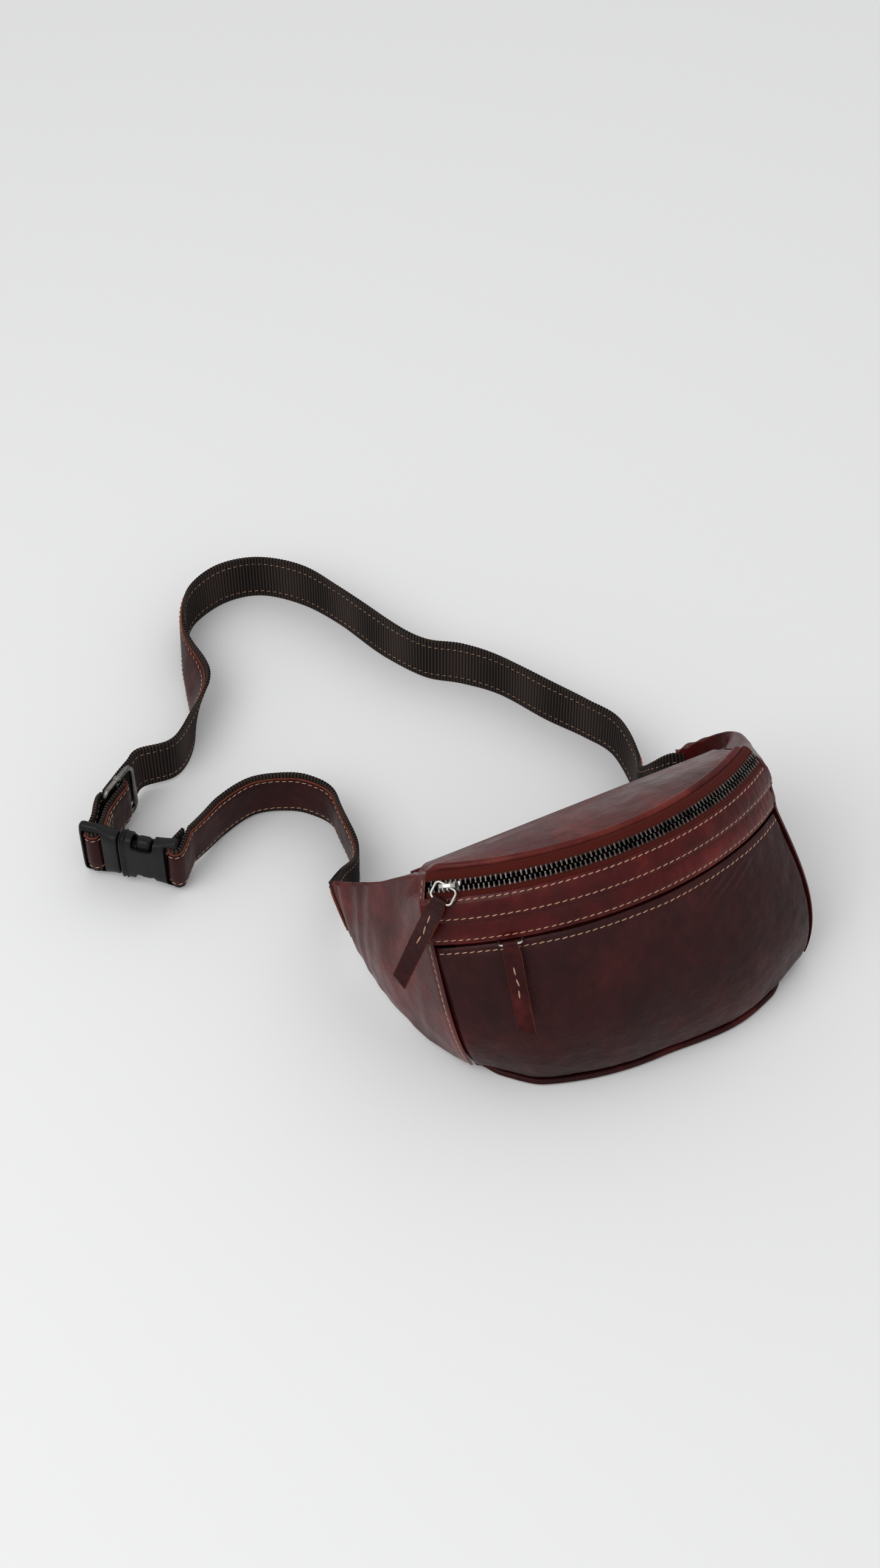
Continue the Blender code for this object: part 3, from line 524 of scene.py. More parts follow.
# Each station of a wing, from the bag to the tip: top, low, swell, and the way to its inner face.
leftWing = [
    ((-0.1165, 0.086, 0.107), (-0.1210, 0.038, 0.004), 0.011, (1, 0.45, 0)),
    ((-0.1250, 0.099, 0.091), (-0.1290, 0.066, 0.007), 0.008, (1, 0.45, 0)),
    ((-0.1320, 0.117, 0.075), (-0.1330, 0.092, 0.012), 0.004, (1, 0.45, 0)),
    ((-0.1418, 0.1353, 0.062), (-0.1345, 0.115, 0.019), 0.0, (1, 0.45, 0)),
]
rightWing = [
    ((0.1230, 0.084, 0.112), (0.1270, 0.034, 0.004), 0.008, (-1, 0.3, 0)),
    ((0.1245, 0.103, 0.100), (0.1290, 0.068, 0.008), 0.006, (-1, 0.1, 0)),
    ((0.1130, 0.117, 0.086), (0.1190, 0.095, 0.016), 0.003, (-0.8, -0.6, 0)),
    ((0.0970, 0.1230, 0.077), (0.0970, 0.107, 0.031), 0.0, (-0.25, -0.97, 0)),
]


def blendColumns(columns, u, v):
    run = u * (len(columns) - 1)
    k = min(int(run), len(columns) - 2)
    near = [columns[min(max(k + n, 0), len(columns) - 1)](v) for n in (-1, 0, 1, 2)]
    return blendFour(*near, run - k)


def wingColumn(top, low, swell, side):
    def column(v):
        out = Vector((side, -0.25, 0)).normalized()
        return Vector(low).lerp(Vector(top), v) + out * (swell * math.sin(math.pi * v))
    return column


def wingFront(side, stations):
    columns = [lambda v: seamPlace(side, v) + Vector((side * 0.0006, 0.0006, 0))]
    columns += [wingColumn(top, low, swell, side) for top, low, swell, _ in stations]
    return lambda u, v: blendColumns(columns, u, 0.012 + v * 0.976)


def wingBack(side, stations):
    lowBack = Vector((side * (bag["baseHalf"] + 0.0015), bag["backEdge"] + 0.006, 0.0045))
    highBack = lean(side * (bag["backHalf"] + 0.0015), 0, bag["backHeight"] - 0.001)
    columns = [lambda v: lowBack.lerp(highBack, v)]
    padding = 0.0034
    rise = Vector((0, 0, 0.003))
    for top, low, swell, way in stations[1:]:
        inwards = Vector(way).normalized() * padding
        top = Vector(top) + inwards - rise
        low = Vector(low) + inwards + rise
        columns.append(wingColumn(top, low, swell * 0.15, side))
    return lambda u, v: blendColumns(columns, u, v)


def backPlace(u, v):
    half = bag["baseHalf"] + (bag["backHalf"] - bag["baseHalf"]) * v
    return lean((2 * u - 1) * half, 0, 0.0018 + (bag["backHeight"] - 0.0018) * v)


def topPlace(u, v):
    front = onArc(bag["pipingRadius"] - bag["piping"] - 0.0002, sideAngle(u) * 0.985,
                  bag["pipingHeight"] - 0.0004)
    back = lean((2 * u - 1) * (bag["backHalf"] - 0.003), -0.001, bag["backHeight"] + 0.0022)
    across = 1 - (2 * u - 1) ** 2
    return back.lerp(front, v) + Vector((0, 0, bag["dome"] * across * math.sin(math.pi * v)))


upperBand = dict(low=bag["seam"] - 0.0004, high=bag["bandTop"])
lowerBand = dict(low=bag["slit"] + 0.0002, high=bag["seam"] + 0.0012)
stitches = dict(top=0.1193, middle=0.1078, slit=0.0938, pocket=0.9635)


def crossFolds(u, height, amount):
    swell = 0.4 + 0.6 * noise.noise(Vector((u * 9, height * 40, 3.1)))
    return amount * swell * noise.fractal(Vector((u * 95, height * 120, 0.7)), 0.8, 2.2, 3)


def upperLift(u, v, p):
    height = upperBand["low"] + (upperBand["high"] - upperBand["low"]) * v
    lift = 0.0010 * (1 - v) + 0.0008 * math.sin(math.pi * v)
    lift += crossFolds(u, height, 0.00038)
    lift -= 0.0004 * (hump(height - stitches["top"], 0.0010) + hump(height - stitches["middle"], 0.0010))
    return lift - 0.0010 * hump(1 - v, 0.05) - 0.0006 * hump(v, 0.05)


def lowerLift(u, v, p):
    height = lowerBand["low"] + (lowerBand["high"] - lowerBand["low"]) * v
    lift = 0.0009 * math.sin(math.pi * v) - 0.0008 * v
    lift += crossFolds(u + 3, height, 0.00034) - 0.0004 * hump(height - stitches["slit"], 0.0010)
    return lift - 0.0009 * hump(v, 0.06)


def pocketLift(u, v, p):
    depth = (1 - v) * 0.088
    lift = 0.0007 * fold(p, 28, (1, 1, 0.6), 2.0) + 0.00022 * fold(p, 90, (1, 1, 1.6), 5.0, 4)
    lift += 0.0016 * hump(1 - v, 0.10) * (0.3 + 0.7 * noise.noise(Vector((u * 7, 0.5, 8))))
    lift -= 0.0005 * hump(depth - 0.0032, 0.0011) + 0.0010 * hump(1 - v, 0.010)
    lift += 0.0006 * hump(u - 0.33, 0.06) * hump(v - 0.86, 0.05) * math.sin((u * 2.2 + v) * 70)
    lift += 0.0005 * hump(u - 0.72, 0.08) * hump(v - 0.90, 0.06) * math.sin((u * 1.2 - v * 1.5) * 90)
    return lift - 0.0026 * hump(min(u, 1 - u), 0.012) - 0.0008 * hump(v, 0.02)


def topLift(u, v, p):
    lift = 0.0011 * fold(p, 20, (1, 1, 1), 7.0) + 0.0003 * fold(p, 75, (0.6, 1.4, 1), 1.0, 4)
    sink = 0.0036 * ease((abs(2 * u - 1) - 0.92) / 0.08)
    return lift * math.sin(math.pi * v) ** 0.5 - 0.0006 * hump(1 - v, 0.04) - sink


# The panels reach under the wings by this share of their width.
def wider(place, spare=0.018):
    return lambda u, v: place(u * (1 + 2 * spare) - spare, v)


def leatherPanel(name, node, place, columns, rows, mat=oxblood, offset=1, slotName="oxblood_leather"):
    keep(panel(name, place, columns, rows, bag["leather"], mat, offset=offset), "bag", node, slotName)


upperPlace = dressed(wider(bandPlace(**upperBand)), upperLift)
lowerPlace = dressed(wider(bandPlace(**lowerBand)), lowerLift)
pocketFace = dressed(wider(pocketPlace, 0.010), pocketLift)
topFace = dressed(wider(topPlace, 0.021), topLift, -1)
backFace = dressed(wider(backPlace, 0.016), lambda u, v, p: 0.0006 * fold(p, 25, seed=4.0), -1)
leatherPanel("bandUpper", "front_band_upper", upperPlace, 260, 22, bandLeather, -1)
leatherPanel("bandLower", "front_band_lower", lowerPlace, 260, 22, bandLeather, -1)
leatherPanel("pocketPanel", "pocket_panel", pocketFace, 240, 90, darkOxblood, -1, "dark_leather")
leatherPanel("topPanel", "top_panel", topFace, 200, 44)
leatherPanel("backPanel", "back_panel", backFace, 90, 50)
print("front panels built")

for name, place, height, edge in (("stitchTop", upperPlace, stitches["top"], upperBand),
                                  ("stitchMiddle", upperPlace, stitches["middle"], upperBand),
                                  ("stitchSlit", lowerPlace, stitches["slit"], lowerBand)):
    v = (height - edge["low"]) / (edge["high"] - edge["low"])
    surfaceStitch(name, place, line((0.018, v), (0.982, v), 120))
surfaceStitch("stitchPocket", pocketFace, line((0.012, stitches["pocket"]), (0.985, stitches["pocket"]), 120))


wingSeam = 0.036


def wingFold(side, u, v, p):
    tip = ease((u - 0.45) / 0.55)
    lift = 0.0017 * fold(p, 26, (1, 1, 0.35), 3.0 + side) + 0.00022 * fold(p, 95, (1, 1, 0.8), 6.0, 4)
    lift += 0.0013 * tip * math.sin(u * 42 + 2.2 * v + 2 * noise.noise(p * 30)) * (0.3 + 0.7 * v)
    return 0.0016 - 0.0012 * hump(u, 0.008) - 0.0005 * hump(u - wingSeam, 0.010) + lift * ease(u / 0.12)


def wingShell(name, side, stations, columns, nodes):
    front = dressed(wingFront(side, stations), lambda u, v, p: wingFold(side, u, v, p), side)
    back = dressed(wingBack(side, stations), lambda u, v, p: 0.0006 * fold(p, 30, seed=9.0) * ease(u / 0.1),
                   -side)
    over, under = 0.5, 0.92  # where the loop leaves the front face, and where it leaves the back face
    turn = 0.08

    def around(u, t):
        if t <= over:
            return front(u, t / over)
        if t < over + turn:
            s = (t - over) / turn
            a, b = front(u, 1), back(u, 1)
            arch = 0.0006 + 0.30 * (a - b).length * ease(u * 3)
            return a.lerp(b, s) + Vector((0, 0, arch * math.sin(math.pi * s)))
        if t <= under:
            return back(u, 1 - (t - over - turn) / (under - over - turn))
        s = (t - under) / turn
        a, b = back(u, 0), front(u, 0)
        return a.lerp(b, s) - Vector((0, 0, 0.0010 * math.sin(math.pi * s)))
    shape = bmesh.new()
    bmesh.ops.create_grid(shape, x_segments=columns, y_segments=92, size=0.5)
    for point in shape.verts:
        u = min(max(point.co.x + 0.5, 0), 1)
        point.co = around(u, point.co.y + 0.5 if point.co.y < 0.4999 else 0.0)
    bmesh.ops.remove_doubles(shape, verts=shape.verts, dist=0.00001)
    caps = bmesh.ops.holes_fill(shape, edges=[e for e in shape.edges if e.is_boundary], sides=0)["faces"]
    bmesh.ops.triangulate(shape, faces=caps)
    outward(shape)
    keep(smoothEdges(fromBmesh(name, shape, oxblood), 70), "bag", nodes, "oxblood_leather")
    return front


leftFace = wingShell("leftWing", -1, leftWing, 110, ["left_wing_front", "left_wing_back"])
rightFace = wingShell("rightWing", 1, rightWing, 90, ["right_wing_front", "right_wing_back"])
seamLine = line((0.034, 0.02), (0.034, 0.985), 60)
surfaceStitch("stitchLeftSeam", leftFace, seamLine, -1)
surfaceStitch("stitchRightSeam", rightFace, seamLine, 1)

steps = 150
crown = []
for k in range(steps + 1):
    sag = 0.0006 * noise.noise(Vector((k * 0.06, 0, 0)))
    sink = 0.0040 * ease((abs(2 * k / steps - 1) - 0.93) / 0.08)
    crown.append(onArc(bag["pipingRadius"] + sag, sideAngle(k / steps) * 1.004,
                       bag["pipingHeight"] + 0.0008 + sag * 0.6 - sink))
keep(tube("topPiping", crown, bag["piping"] * 1.15, pipingLeather), "bag", "top_piping", "oxblood_leather")
hem = []
for k in range(steps + 1):
    tuck = 0.0050 * ease((0.07 - k / steps) / 0.07) + 0.0120 * ease((k / steps - 0.86) / 0.14)
    hem.append(baseEdge(k / steps, 0.0008 + tuck, 0.0024))
keep(tube("basePiping", hem, 0.0023, strapLeather), "bag", "base_piping", "oxblood_leather")


def basePlace(u, v):
    front = baseEdge(u, 2 * bag["piping"] - 0.0004, bag["leather"] / 2)
    back = Vector(((2 * u - 1) * (bag["baseHalf"] - 0.002), bag["backEdge"] + 0.0006, bag["leather"] / 2))
    return back.lerp(front, v)


leatherPanel("basePanel", "base_panel", basePlace, 80, 8, darkOxblood, 0)


def inside(u, v):
    across = 0.05 + u * 0.9
    if v < 0.6:
        p = pocketPlace(across, 0.08 + v * 1.2)
        return p + Vector((0, 0.0036 + 0.0076 * (v / 0.6) ** 2, 0))
    rise = (v - 0.6) / 0.4
    height = 0.0775 + 0.0395 * rise
    deep = 0.0125 - 0.0092 * max(0.0, 2 * rise - 1) ** 2
    return onArc(bandRadius(height) - deep, sideAngle(across), height)


def insidePocket(u, v):
    return pocketPlace(0.03 + u * 0.94, 0.06 + v * 0.82) + Vector((0, 0.0026, 0))


for name, node, place, rows, tall in (("mainLining", "main_lining", inside, 30, 0.1),
                                      ("pocketLining", "pocket_lining", insidePocket, 20, 0.07)):
    keep(panel(name, place, 60, rows, 0.0006, liningCloth, (0.2, tall), soften=0), "bag", node, "lining")
print("bag built")

# Angles are along the arc, and lengths in metres.
zipper = dict(half=bag["halfAngle"] - 0.008, pitch=0.0030, tape=0.0008, height=0.0024, chain=0.0070,
              home=-0.645, pocketHome=-0.470, pocketShare=0.93, plate=0.0013, skew=math.radians(-33),
              dip=math.radians(5), hang=math.radians(77), wire=0.0008, ringWidth=0.0140, ringLength=0.0100,
              pocketRing=0.0085, tab=0.0565, tabWidth=0.0106)
ringOut = zipper["height"] / 2 + 0.0005 + zipper["plate"] + zipper["wire"] + 0.0004


def onZip(angle, along, out):
    radius, height = zipOffset(along, out)
    return onArc(radius, angle, height)


def pocketChain(angle, along, out):
    return onArc(bag["radius"] - zipper["chain"] + out, angle, bag["slit"] - along)


def frameAt(place, angle, out):
    step = 0.001
    origin = place(angle, 0, out)
    along = (place(angle - step, 0, out) - place(angle + step, 0, out)).normalized()
    down = (place(angle, step, out) - place(angle, -step, out)).normalized()
    rise = along.cross(down).normalized()
    down = rise.cross(along)
    return Matrix.Translation(origin) @ Matrix((along, down, rise)).transposed().to_4x4()


def tapePlace(points, half):
    def place(u, v):
        a, b, c = [Vector(p) for p in points]
        spot = a * (1 - v) ** 2 + b * 2 * v * (1 - v) + c * v * v
        return onArc(spot.x, (2 * u - 1) * half, spot.y)
    return place


def zipTape(name, node, place, columns, rows, tall):
    long = 2 * zipper["half"] * bag["zipRadius"]
    keep(panel(name, place, columns, rows, zipper["tape"], tapeCloth, (long, tall), soften=0), "bag", node,
         "zip_tape")


def pocketTape(low, high):
    return lambda u, v: pocketChain((2 * u - 1) * zipper["half"] * zipper["pocketShare"],
                                    high + (low - high) * v, 0)


upperTape = [zipOffset(-0.0030), zipOffset(-0.0098),
             (bag["pipingRadius"] + 0.0012, bag["pipingHeight"] - 0.0008)]
lowerTape = [zipOffset(0.0030), zipOffset(0.0066), (0.1711, bag["bandTop"] - 0.0016)]
zipTape("zipTapeUpper", "zip_tape_upper", tapePlace(upperTape, zipper["half"] + 0.006), 160, 12, 0.0130)
zipTape("zipTapeLower", "zip_tape_lower", tapePlace(lowerTape, zipper["half"] + 0.006), 160, 8, 0.0070)
zipTape("pocketTapeUpper", "pocket_tape_upper", pocketTape(-0.0095, -0.0020), 100, 4, 0.0075)
zipTape("pocketTapeLower", "pocket_tape_lower", pocketTape(0.0020, 0.0095), 100, 4, 0.0075)


tooth = dict(width=0.00132, root=0.00022, reach=0.0036, height=0.00224)


def toothMesh():
    shape = bmesh.new()
    bmesh.ops.create_grid(shape, x_segments=2, y_segments=7, size=0.5)
    for point in shape.verts:
        reach = point.co.y + 0.5
        waist = 1 - 0.34 * hump(reach - 0.34, 0.16) - 0.35 * max(0, reach - 0.86) / 0.14
        point.co = (point.co.x * tooth["width"] * waist, tooth["root"] + reach * tooth["reach"],
                    -tooth["height"] / 2)
    risen = bmesh.ops.extrude_face_region(shape, geom=shape.faces[:])["geom"]
    top = [v for v in risen if isinstance(v, bmesh.types.BMVert)]
    bmesh.ops.translate(shape, vec=(0, 0, tooth["height"]), verts=top)
    for point in top:
        point.co.z += 0.00016 * hump(point.co.y - 0.0011, 0.0009)
    bmesh.ops.recalc_face_normals(shape, faces=shape.faces)
    rim = [e for e in shape.edges if len(e.link_faces) == 2 and e.calc_face_angle(0) > math.radians(50)]
    bmesh.ops.bevel(shape, geom=rim, offset=0.00026, segments=2, profile=0.5, affect="EDGES", material=-1)
    outward(shape)
    data = bpy.data.meshes.new("tooth")
    shape.to_mesh(data)
    shape.free()
    return data


toothShape = toothMesh()
count = int(2 * zipper["half"] * bag["zipRadius"] / zipper["pitch"])
for name, node, side in (("teethUpper", "zip_teeth_upper", -1), ("teethLower", "zip_teeth_lower", 1)):
    shape = bmesh.new()
    for k in range(count):
        angle = -zipper["half"] + (2 * k + 1 + (0 if side > 0 else 1) - 0.5) * zipper["half"] / count
        here = frameAt(onZip, angle, 0)
        if side < 0:
            here = here @ Matrix.Rotation(math.pi, 4, "Z")
        wobble = Matrix.Rotation(0.05 * noise.noise(Vector((k, side, 0.5))), 4, "Z")
        single = toothShape.copy()
        single.transform(here @ wobble)
        shape.from_mesh(single)
        bpy.data.meshes.remove(single)
    keep(smoothEdges(fromBmesh(name, shape, toothMetal), 40), "bag", node, "gunmetal")
    cord = [onZip(-zipper["half"] + 2 * zipper["half"] * k / 120, side * 0.0036, 0) for k in range(121)]
    keep(tube(name + "Cord", cord, 0.0009, tapeCloth, sides=2), "bag")
for name, node, low, high in (("pocketCoilUpper", "pocket_coil_upper", -0.0020, -0.0005),
                              ("pocketCoilLower", "pocket_coil_lower", 0.0005, 0.0020)):
    middle = (low + high) / 2
    coil = 0.00055
    turns = [pocketChain(zipper["half"] * zipper["pocketShare"] * (k / 700 - 1),
                         middle + coil * math.cos(k * 0.9), coil * math.sin(k * 0.9)) for k in range(1401)]
    keep(tube(name, turns, 0.00022, gunmetal, sides=0), "bag", node, "gunmetal")
print("chain built")


def sliderBody(name, home, length, wide, narrow, plate, web, body, node, gap=0.0034):
    shape = bmesh.new()
    for z in (gap / 2 + plate / 2, -gap / 2 - plate / 2):
        grown = bmesh.ops.create_cube(shape, size=1.0)
        rails = {e for v in grown["verts"] for e in v.link_edges
                 if abs(e.verts[0].co.x - e.verts[1].co.x) > 0.5}
        bmesh.ops.subdivide_edges(shape, edges=list(rails), cuts=6)
        for point in shape.verts:
            t = 0.5 - point.co.x
            flare = narrow + (wide - narrow) * ease((t - 0.30) / 0.45) - 0.0012 * ease((t - 0.86) / 0.14)
            point.co = (point.co.x * length, point.co.y * flare, z + point.co.z * plate)
    size = [length * 0.22, web, gap + plate]
    grown = bmesh.ops.create_cube(shape, size=1.0)
    for point in grown["verts"]:
        point.co = (point.co.x * size[0] + length * 0.30, point.co.y * size[1], point.co.z * size[2])
    bmesh.ops.transform(shape, matrix=home, verts=shape.verts)
    obj = fromBmesh(name, shape, nickel)
    softenEdges(obj, min(0.0004, plate * 0.4), 3, 40)
    keep(smoothEdges(bake(obj), 45), body, node, "nickel")


def ringWire(name, base, width, length, body, node):
    points = [base @ Vector((x, y, 0)) for x, y in roundedLoop(width / 2, 0, length, 0.0026, 8)]
    keep(tube(name, points, zipper["wire"], nickel, closed=True, sides=4), body, node, "nickel")


def pullTab(name, base, length, width, body, node, sewn, seed):
    layer = 0.00105
    eye = zipper["wire"] + 0.0003 + layer / 2
    rail = [Vector((0, length * (1 - k / 30), -layer / 2 - 0.00003)) for k in range(27)]
    for k in range(13):
        t = math.radians(-118 - 124 * k / 12)
        rail.append(Vector((0, eye * math.cos(t), eye * math.sin(t))))
    rail += [Vector((0, length * (k / 30), layer / 2 + 0.00003)) for k in range(4, 31)]
    fine = spread(rail, 150)

    def bow(share):
        return 0.0012 * math.sin(math.pi * share) * math.sin(seed)

    def place(u, v):
        x = (v - 0.5) * width
        spot = fine[min(round(u * 149), 149)]
        y = spot.y * (1 - 0.40 * width * (x / width + 0.5) / length) if spot.y > 0 else spot.y
        frayed = abs(2 * v - 1) ** 12
        x *= 1 - 0.20 * (1 - ease(spot.y / 0.0075))
        x += frayed * 0.00030 * noise.noise(Vector((y * 700, v * 3, seed)))
        x *= 1 + 0.05 * math.sin(y * 60 + seed)
        y += 0.0004 * noise.noise(Vector((v * 9, seed, 0))) * (y / length) ** 6
        lift = bow(min(max(y, 0) / length, 1)) + 0.00010 * noise.noise(Vector((x * 400, y * 300, seed)))
        return base @ Vector((x, y, spot.z + lift))
    obj = panel(name, place, 149, 14, layer, [strapLeather, rawEdge], rim=1, soften=0.00018)
    keep(obj, body, node, "oxblood_leather")
    shares = [sewn[0] + (sewn[1] - sewn[0]) * k / 8 for k in range(9)]
    middle = [base @ Vector((0.0004 * math.sin(k), length * share, layer + 0.0001 + bow(share)))
              for k, share in enumerate(shares)]
    rise = (base.to_3x3() @ Vector((0, 0, 1))).normalized()
    stitchLine(name + "Stitch", middle, [rise] * 9, 0.0054, body, length=0.0052, width=0.00050, slant=5)


home = frameAt(onZip, zipper["home"], 0)
sliderBody("mainSlider", home, 0.0125, 0.0100, 0.0074, zipper["plate"], 0.0003, "main_slider", "zip_slider")
arch = []
for k in range(33):
    t = math.pi * k / 32
    arch.append(Vector((0.0050 * math.cos(t), 0, 0.0023 + 0.0041 * math.sin(t) ** 0.55)))


def archPlace(u, v):
    spot = arch[min(round(u * 32), 32)]
    flare = 0.0023 + 0.0012 * abs(2 * u - 1) ** 3
    return home @ Vector((spot.x, (v - 0.5) * flare, spot.z))


bridge = panel("mainSliderBridge", archPlace, 32, 4, 0.0010, nickel, soften=0.0002)
keep(bridge, "main_slider", None, "nickel")
base = home @ Matrix.Translation((0, 0, ringOut)) @ Matrix.Rotation(zipper["skew"], 4, "Z")
base = base @ Matrix.Rotation(-zipper["dip"], 4, "X")
ringWire("mainRing", base, zipper["ringWidth"], zipper["ringLength"], "main_ring", "zip_pull_ring")
hang = base @ Matrix.Translation((0, zipper["ringLength"], 0))
pullTab("mainPull", hang, zipper["tab"], zipper["tabWidth"], "main_pull", "zip_pull_tab", (0.16, 0.52), 1.3)
home = frameAt(pocketChain, zipper["pocketHome"], 0)
sliderBody("pocketSlider", home, 0.0090, 0.0060, 0.0046, 0.0010, 0.0004, "pocket_runner", "pocket_slider")
base = home @ Matrix.Translation((0, 0, 0.0036)) @ Matrix.Rotation(math.pi / 2, 4, "X")
ringWire("pocketRing", base, zipper["ringWidth"], zipper["pocketRing"], "pocket_runner", "pocket_pull_ring")
hang = base @ Matrix.Translation((0, zipper["pocketRing"], 0)) @ Matrix.Rotation(-zipper["hang"], 4, "X")
pullTab("pocketPull", hang, zipper["tab"], zipper["tabWidth"], "pocket_pull", "pocket_pull_tab",
        (0.22, 0.60), 2.0)
print("pulls built")

# Bars are along the buckle from its middle; the routes are the webbing's lower edge, from the bag outwards.
belt = dict(width=0.0380, webbing=0.0020, facing=0.0013, facingWidth=0.0310, step=0.00055, rib=0.0022,
            stitch=0.0044,
            socketBar=0.02935, plugBar=-0.02675, wrap=0.0034, lift=0.0045, rod=0.0018, collar=0.0026,
            middle=(0.0026, 0.0414), turn=math.radians(-14.6), long=0.0340, tall=0.0465)
buckleTurn = Matrix.Rotation(math.atan2(-0.653, 0.757), 4, "Z")
buckleFrame = Matrix.Translation((-0.2355, 0.2406, 0.0240)) @ buckleTurn
shortRoute = [(-0.1397, 0.1389, 0.022), (-0.1290, 0.1490, 0.014), (-0.1140, 0.1620, 0.004),
              (-0.1062, 0.1775, 0), (-0.1030, 0.2060, 0), (-0.1020, 0.2229, 0), (-0.1086, 0.2361, 0),
              (-0.1213, 0.2475, 0), (-0.1450, 0.2555, 0), (-0.1692, 0.2500, 0), (-0.1860, 0.2400, 0.0025)]
longRoute = [(0.0925, 0.1235, 0.036), (0.0850, 0.1300, 0.026), (0.0850, 0.1430, 0.009),
             (0.0935, 0.1624, 0), (0.0963, 0.1934, 0), (0.0859, 0.2167, 0), (0.0707, 0.2431, 0),
             (0.0517, 0.2787, 0), (0.0333, 0.3002, 0), (0.0127, 0.3168, 0), (-0.0025, 0.3442, 0),
             (-0.0193, 0.3897, 0), (-0.0344, 0.4201, 0), (-0.0578, 0.4418, 0), (-0.0847, 0.4475, 0),
             (-0.1100, 0.4392, 0), (-0.1244, 0.4236, 0), (-0.1371, 0.3960, 0), (-0.1438, 0.3741, 0),
             (-0.1494, 0.3523, 0), (-0.1569, 0.3345, 0), (-0.1694, 0.3168, 0.001), (-0.1830, 0.3075, 0.003)]


def nearBar(bar, x, y):
    point = buckleFrame @ Vector((bar + x, y, 0))
    return Vector((point.x, point.y, belt["lift"]))


def adjusterPoint(across, along):
    s = math.sin(belt["turn"])
    c = math.cos(belt["turn"])
    return nearBar(belt["plugBar"], belt["middle"][0] - along * s - across * c,
                   belt["middle"][1] + along * c - across * s)


def wrapPoints(bar, start, end):
    turns = [start + (end - start) * k / 12 for k in range(13)]
    return [nearBar(bar, belt["wrap"] * math.cos(t), belt["wrap"] * math.sin(t) * 1.15) for t in turns]


def beltLine(route):
    length = sum((Vector(b) - Vector(a)).length for a, b in zip(route, route[1:]))
    points = through(route, max(40, round(length / belt["step"])))
    return [Vector((p.x, p.y, max(p.z, 0.0))) for p in points]


def strap(name, line, side, nodes, lead=(0, 0, 0), tilt=None, cross=None):
    count = len(line) - 1
    run = runOf(line)
    lefts = []
    for k in range(count + 1):
        ahead = line[min(k + 2, count)] - line[max(k - 2, 0)]
        lefts.append(Vector((-ahead.y, ahead.x, 0)).normalized() * side)

    def spot(k, out, rise):
        slant = Vector(lead) * (max(0, 1 - run[k] / 0.027) * (1 - rise / belt["width"]))
        over = tilt(line[k]) * (rise / belt["width"]) ** 1.3 if tilt else 0.0
        return line[k] + lefts[k] * (out - over) + slant + Vector((0, 0, rise - over * 0.25))

    def webbing(u, v):
        k = min(round(u * count), count)
        rib = math.sin(2 * math.pi * run[k] / belt["rib"])
        edge = abs(2 * v - 1)
        rise = v * belt["width"] + (0.00028 * rib * edge ** 8) * (1 if v > 0.5 else -1)
        rise = max(rise, 0.0)
        bow = 0.0004 * math.sin(run[k] * 90) * (2 * v - 1) + 0.00016 * rib * (1 - edge ** 6)
        return spot(k, bow, rise)

    def facing(u, v):
        k = min(round(u * count), count)
        edge = abs(2 * v - 1)
        rise = (belt["width"] - belt["facingWidth"]) / 2 + v * belt["facingWidth"]
        puff = 0.0005 * (1 - edge ** 4) - 0.0004 * hump(edge - 0.87, 0.05)
        puff += 0.00045 * fold(spot(k, 0, rise), 60, (1, 1, 0.5), 2.0) * (1 - edge ** 6)
        bow = 0.0004 * math.sin(run[k] * 90) * (2 * v - 1) * 0.8
        return spot(k, belt["webbing"] / 2 + belt["facing"] / 2 + puff + bow, rise)
    webObj = panel(name + "Webbing", webbing, count, 14, belt["webbing"], webbingCloth,
                   (run[-1], belt["width"]), soften=0)
    faceObj = panel(name + "Leather", facing, max(count // 2, 30), 14, belt["facing"],
                    [strapLeather, rawEdge], (run[-1], belt["facingWidth"]), rim=1, soften=0.0003)
    face = belt["webbing"] / 2 + belt["facing"]
    places = [(webObj, nodes[0], "webbing"), (faceObj, nodes[1], "oxblood_leather")]
    rows = []
    marks = range(0, count + 1, 2)
    for tag, share in (("Low", 0.065), ("High", 0.935)):
        rise = (belt["width"] - belt["facingWidth"]) / 2 + share * belt["facingWidth"]
        outside = [spot(k, face + 0.00015, rise) for k in marks]
        inner = [spot(k, -belt["webbing"] / 2 - 0.00018, rise) for k in marks]
        out = [lefts[k] for k in marks]
        inwards = [-n for n in out]
        rows.append(stitchLine(name + "Outer" + tag, outside, out, belt["stitch"], None, 0.0034, 0.00036))
        rows.append(stitchLine(name + "Inner" + tag, inner, inwards, belt["stitch"], None, 0.0026, 0.00026))
    if cross:
        last = min(int(cross[1] / run[-1] * count), count - 1)
        first = int(cross[0] / run[-1] * count)
        marks = range(first, last + 1)
        out = [lefts[k] for k in marks]
        for n, (a, b) in enumerate(((0.008, 0.030), (0.030, 0.008), (0.008, 0.008), (0.030, 0.030))):
            rises = [a + (b - a) * (k - first) / (last - first) for k in marks]
            over = [spot(k, face + 0.0006, rise) for k, rise in zip(marks, rises)]
            rows.append(stitchLine(f"{name}Cross{n}", over, out, 0.0040, None, 0.0036, 0.00040))
    roots = [spot(count, 0.0006 * math.sin(n * 5), 0.0015 + 0.0015 * n) for n in range(24)]
    rows.append(fray(name + "Fray", roots, line[count] - line[count - 3]))
    return places, rows


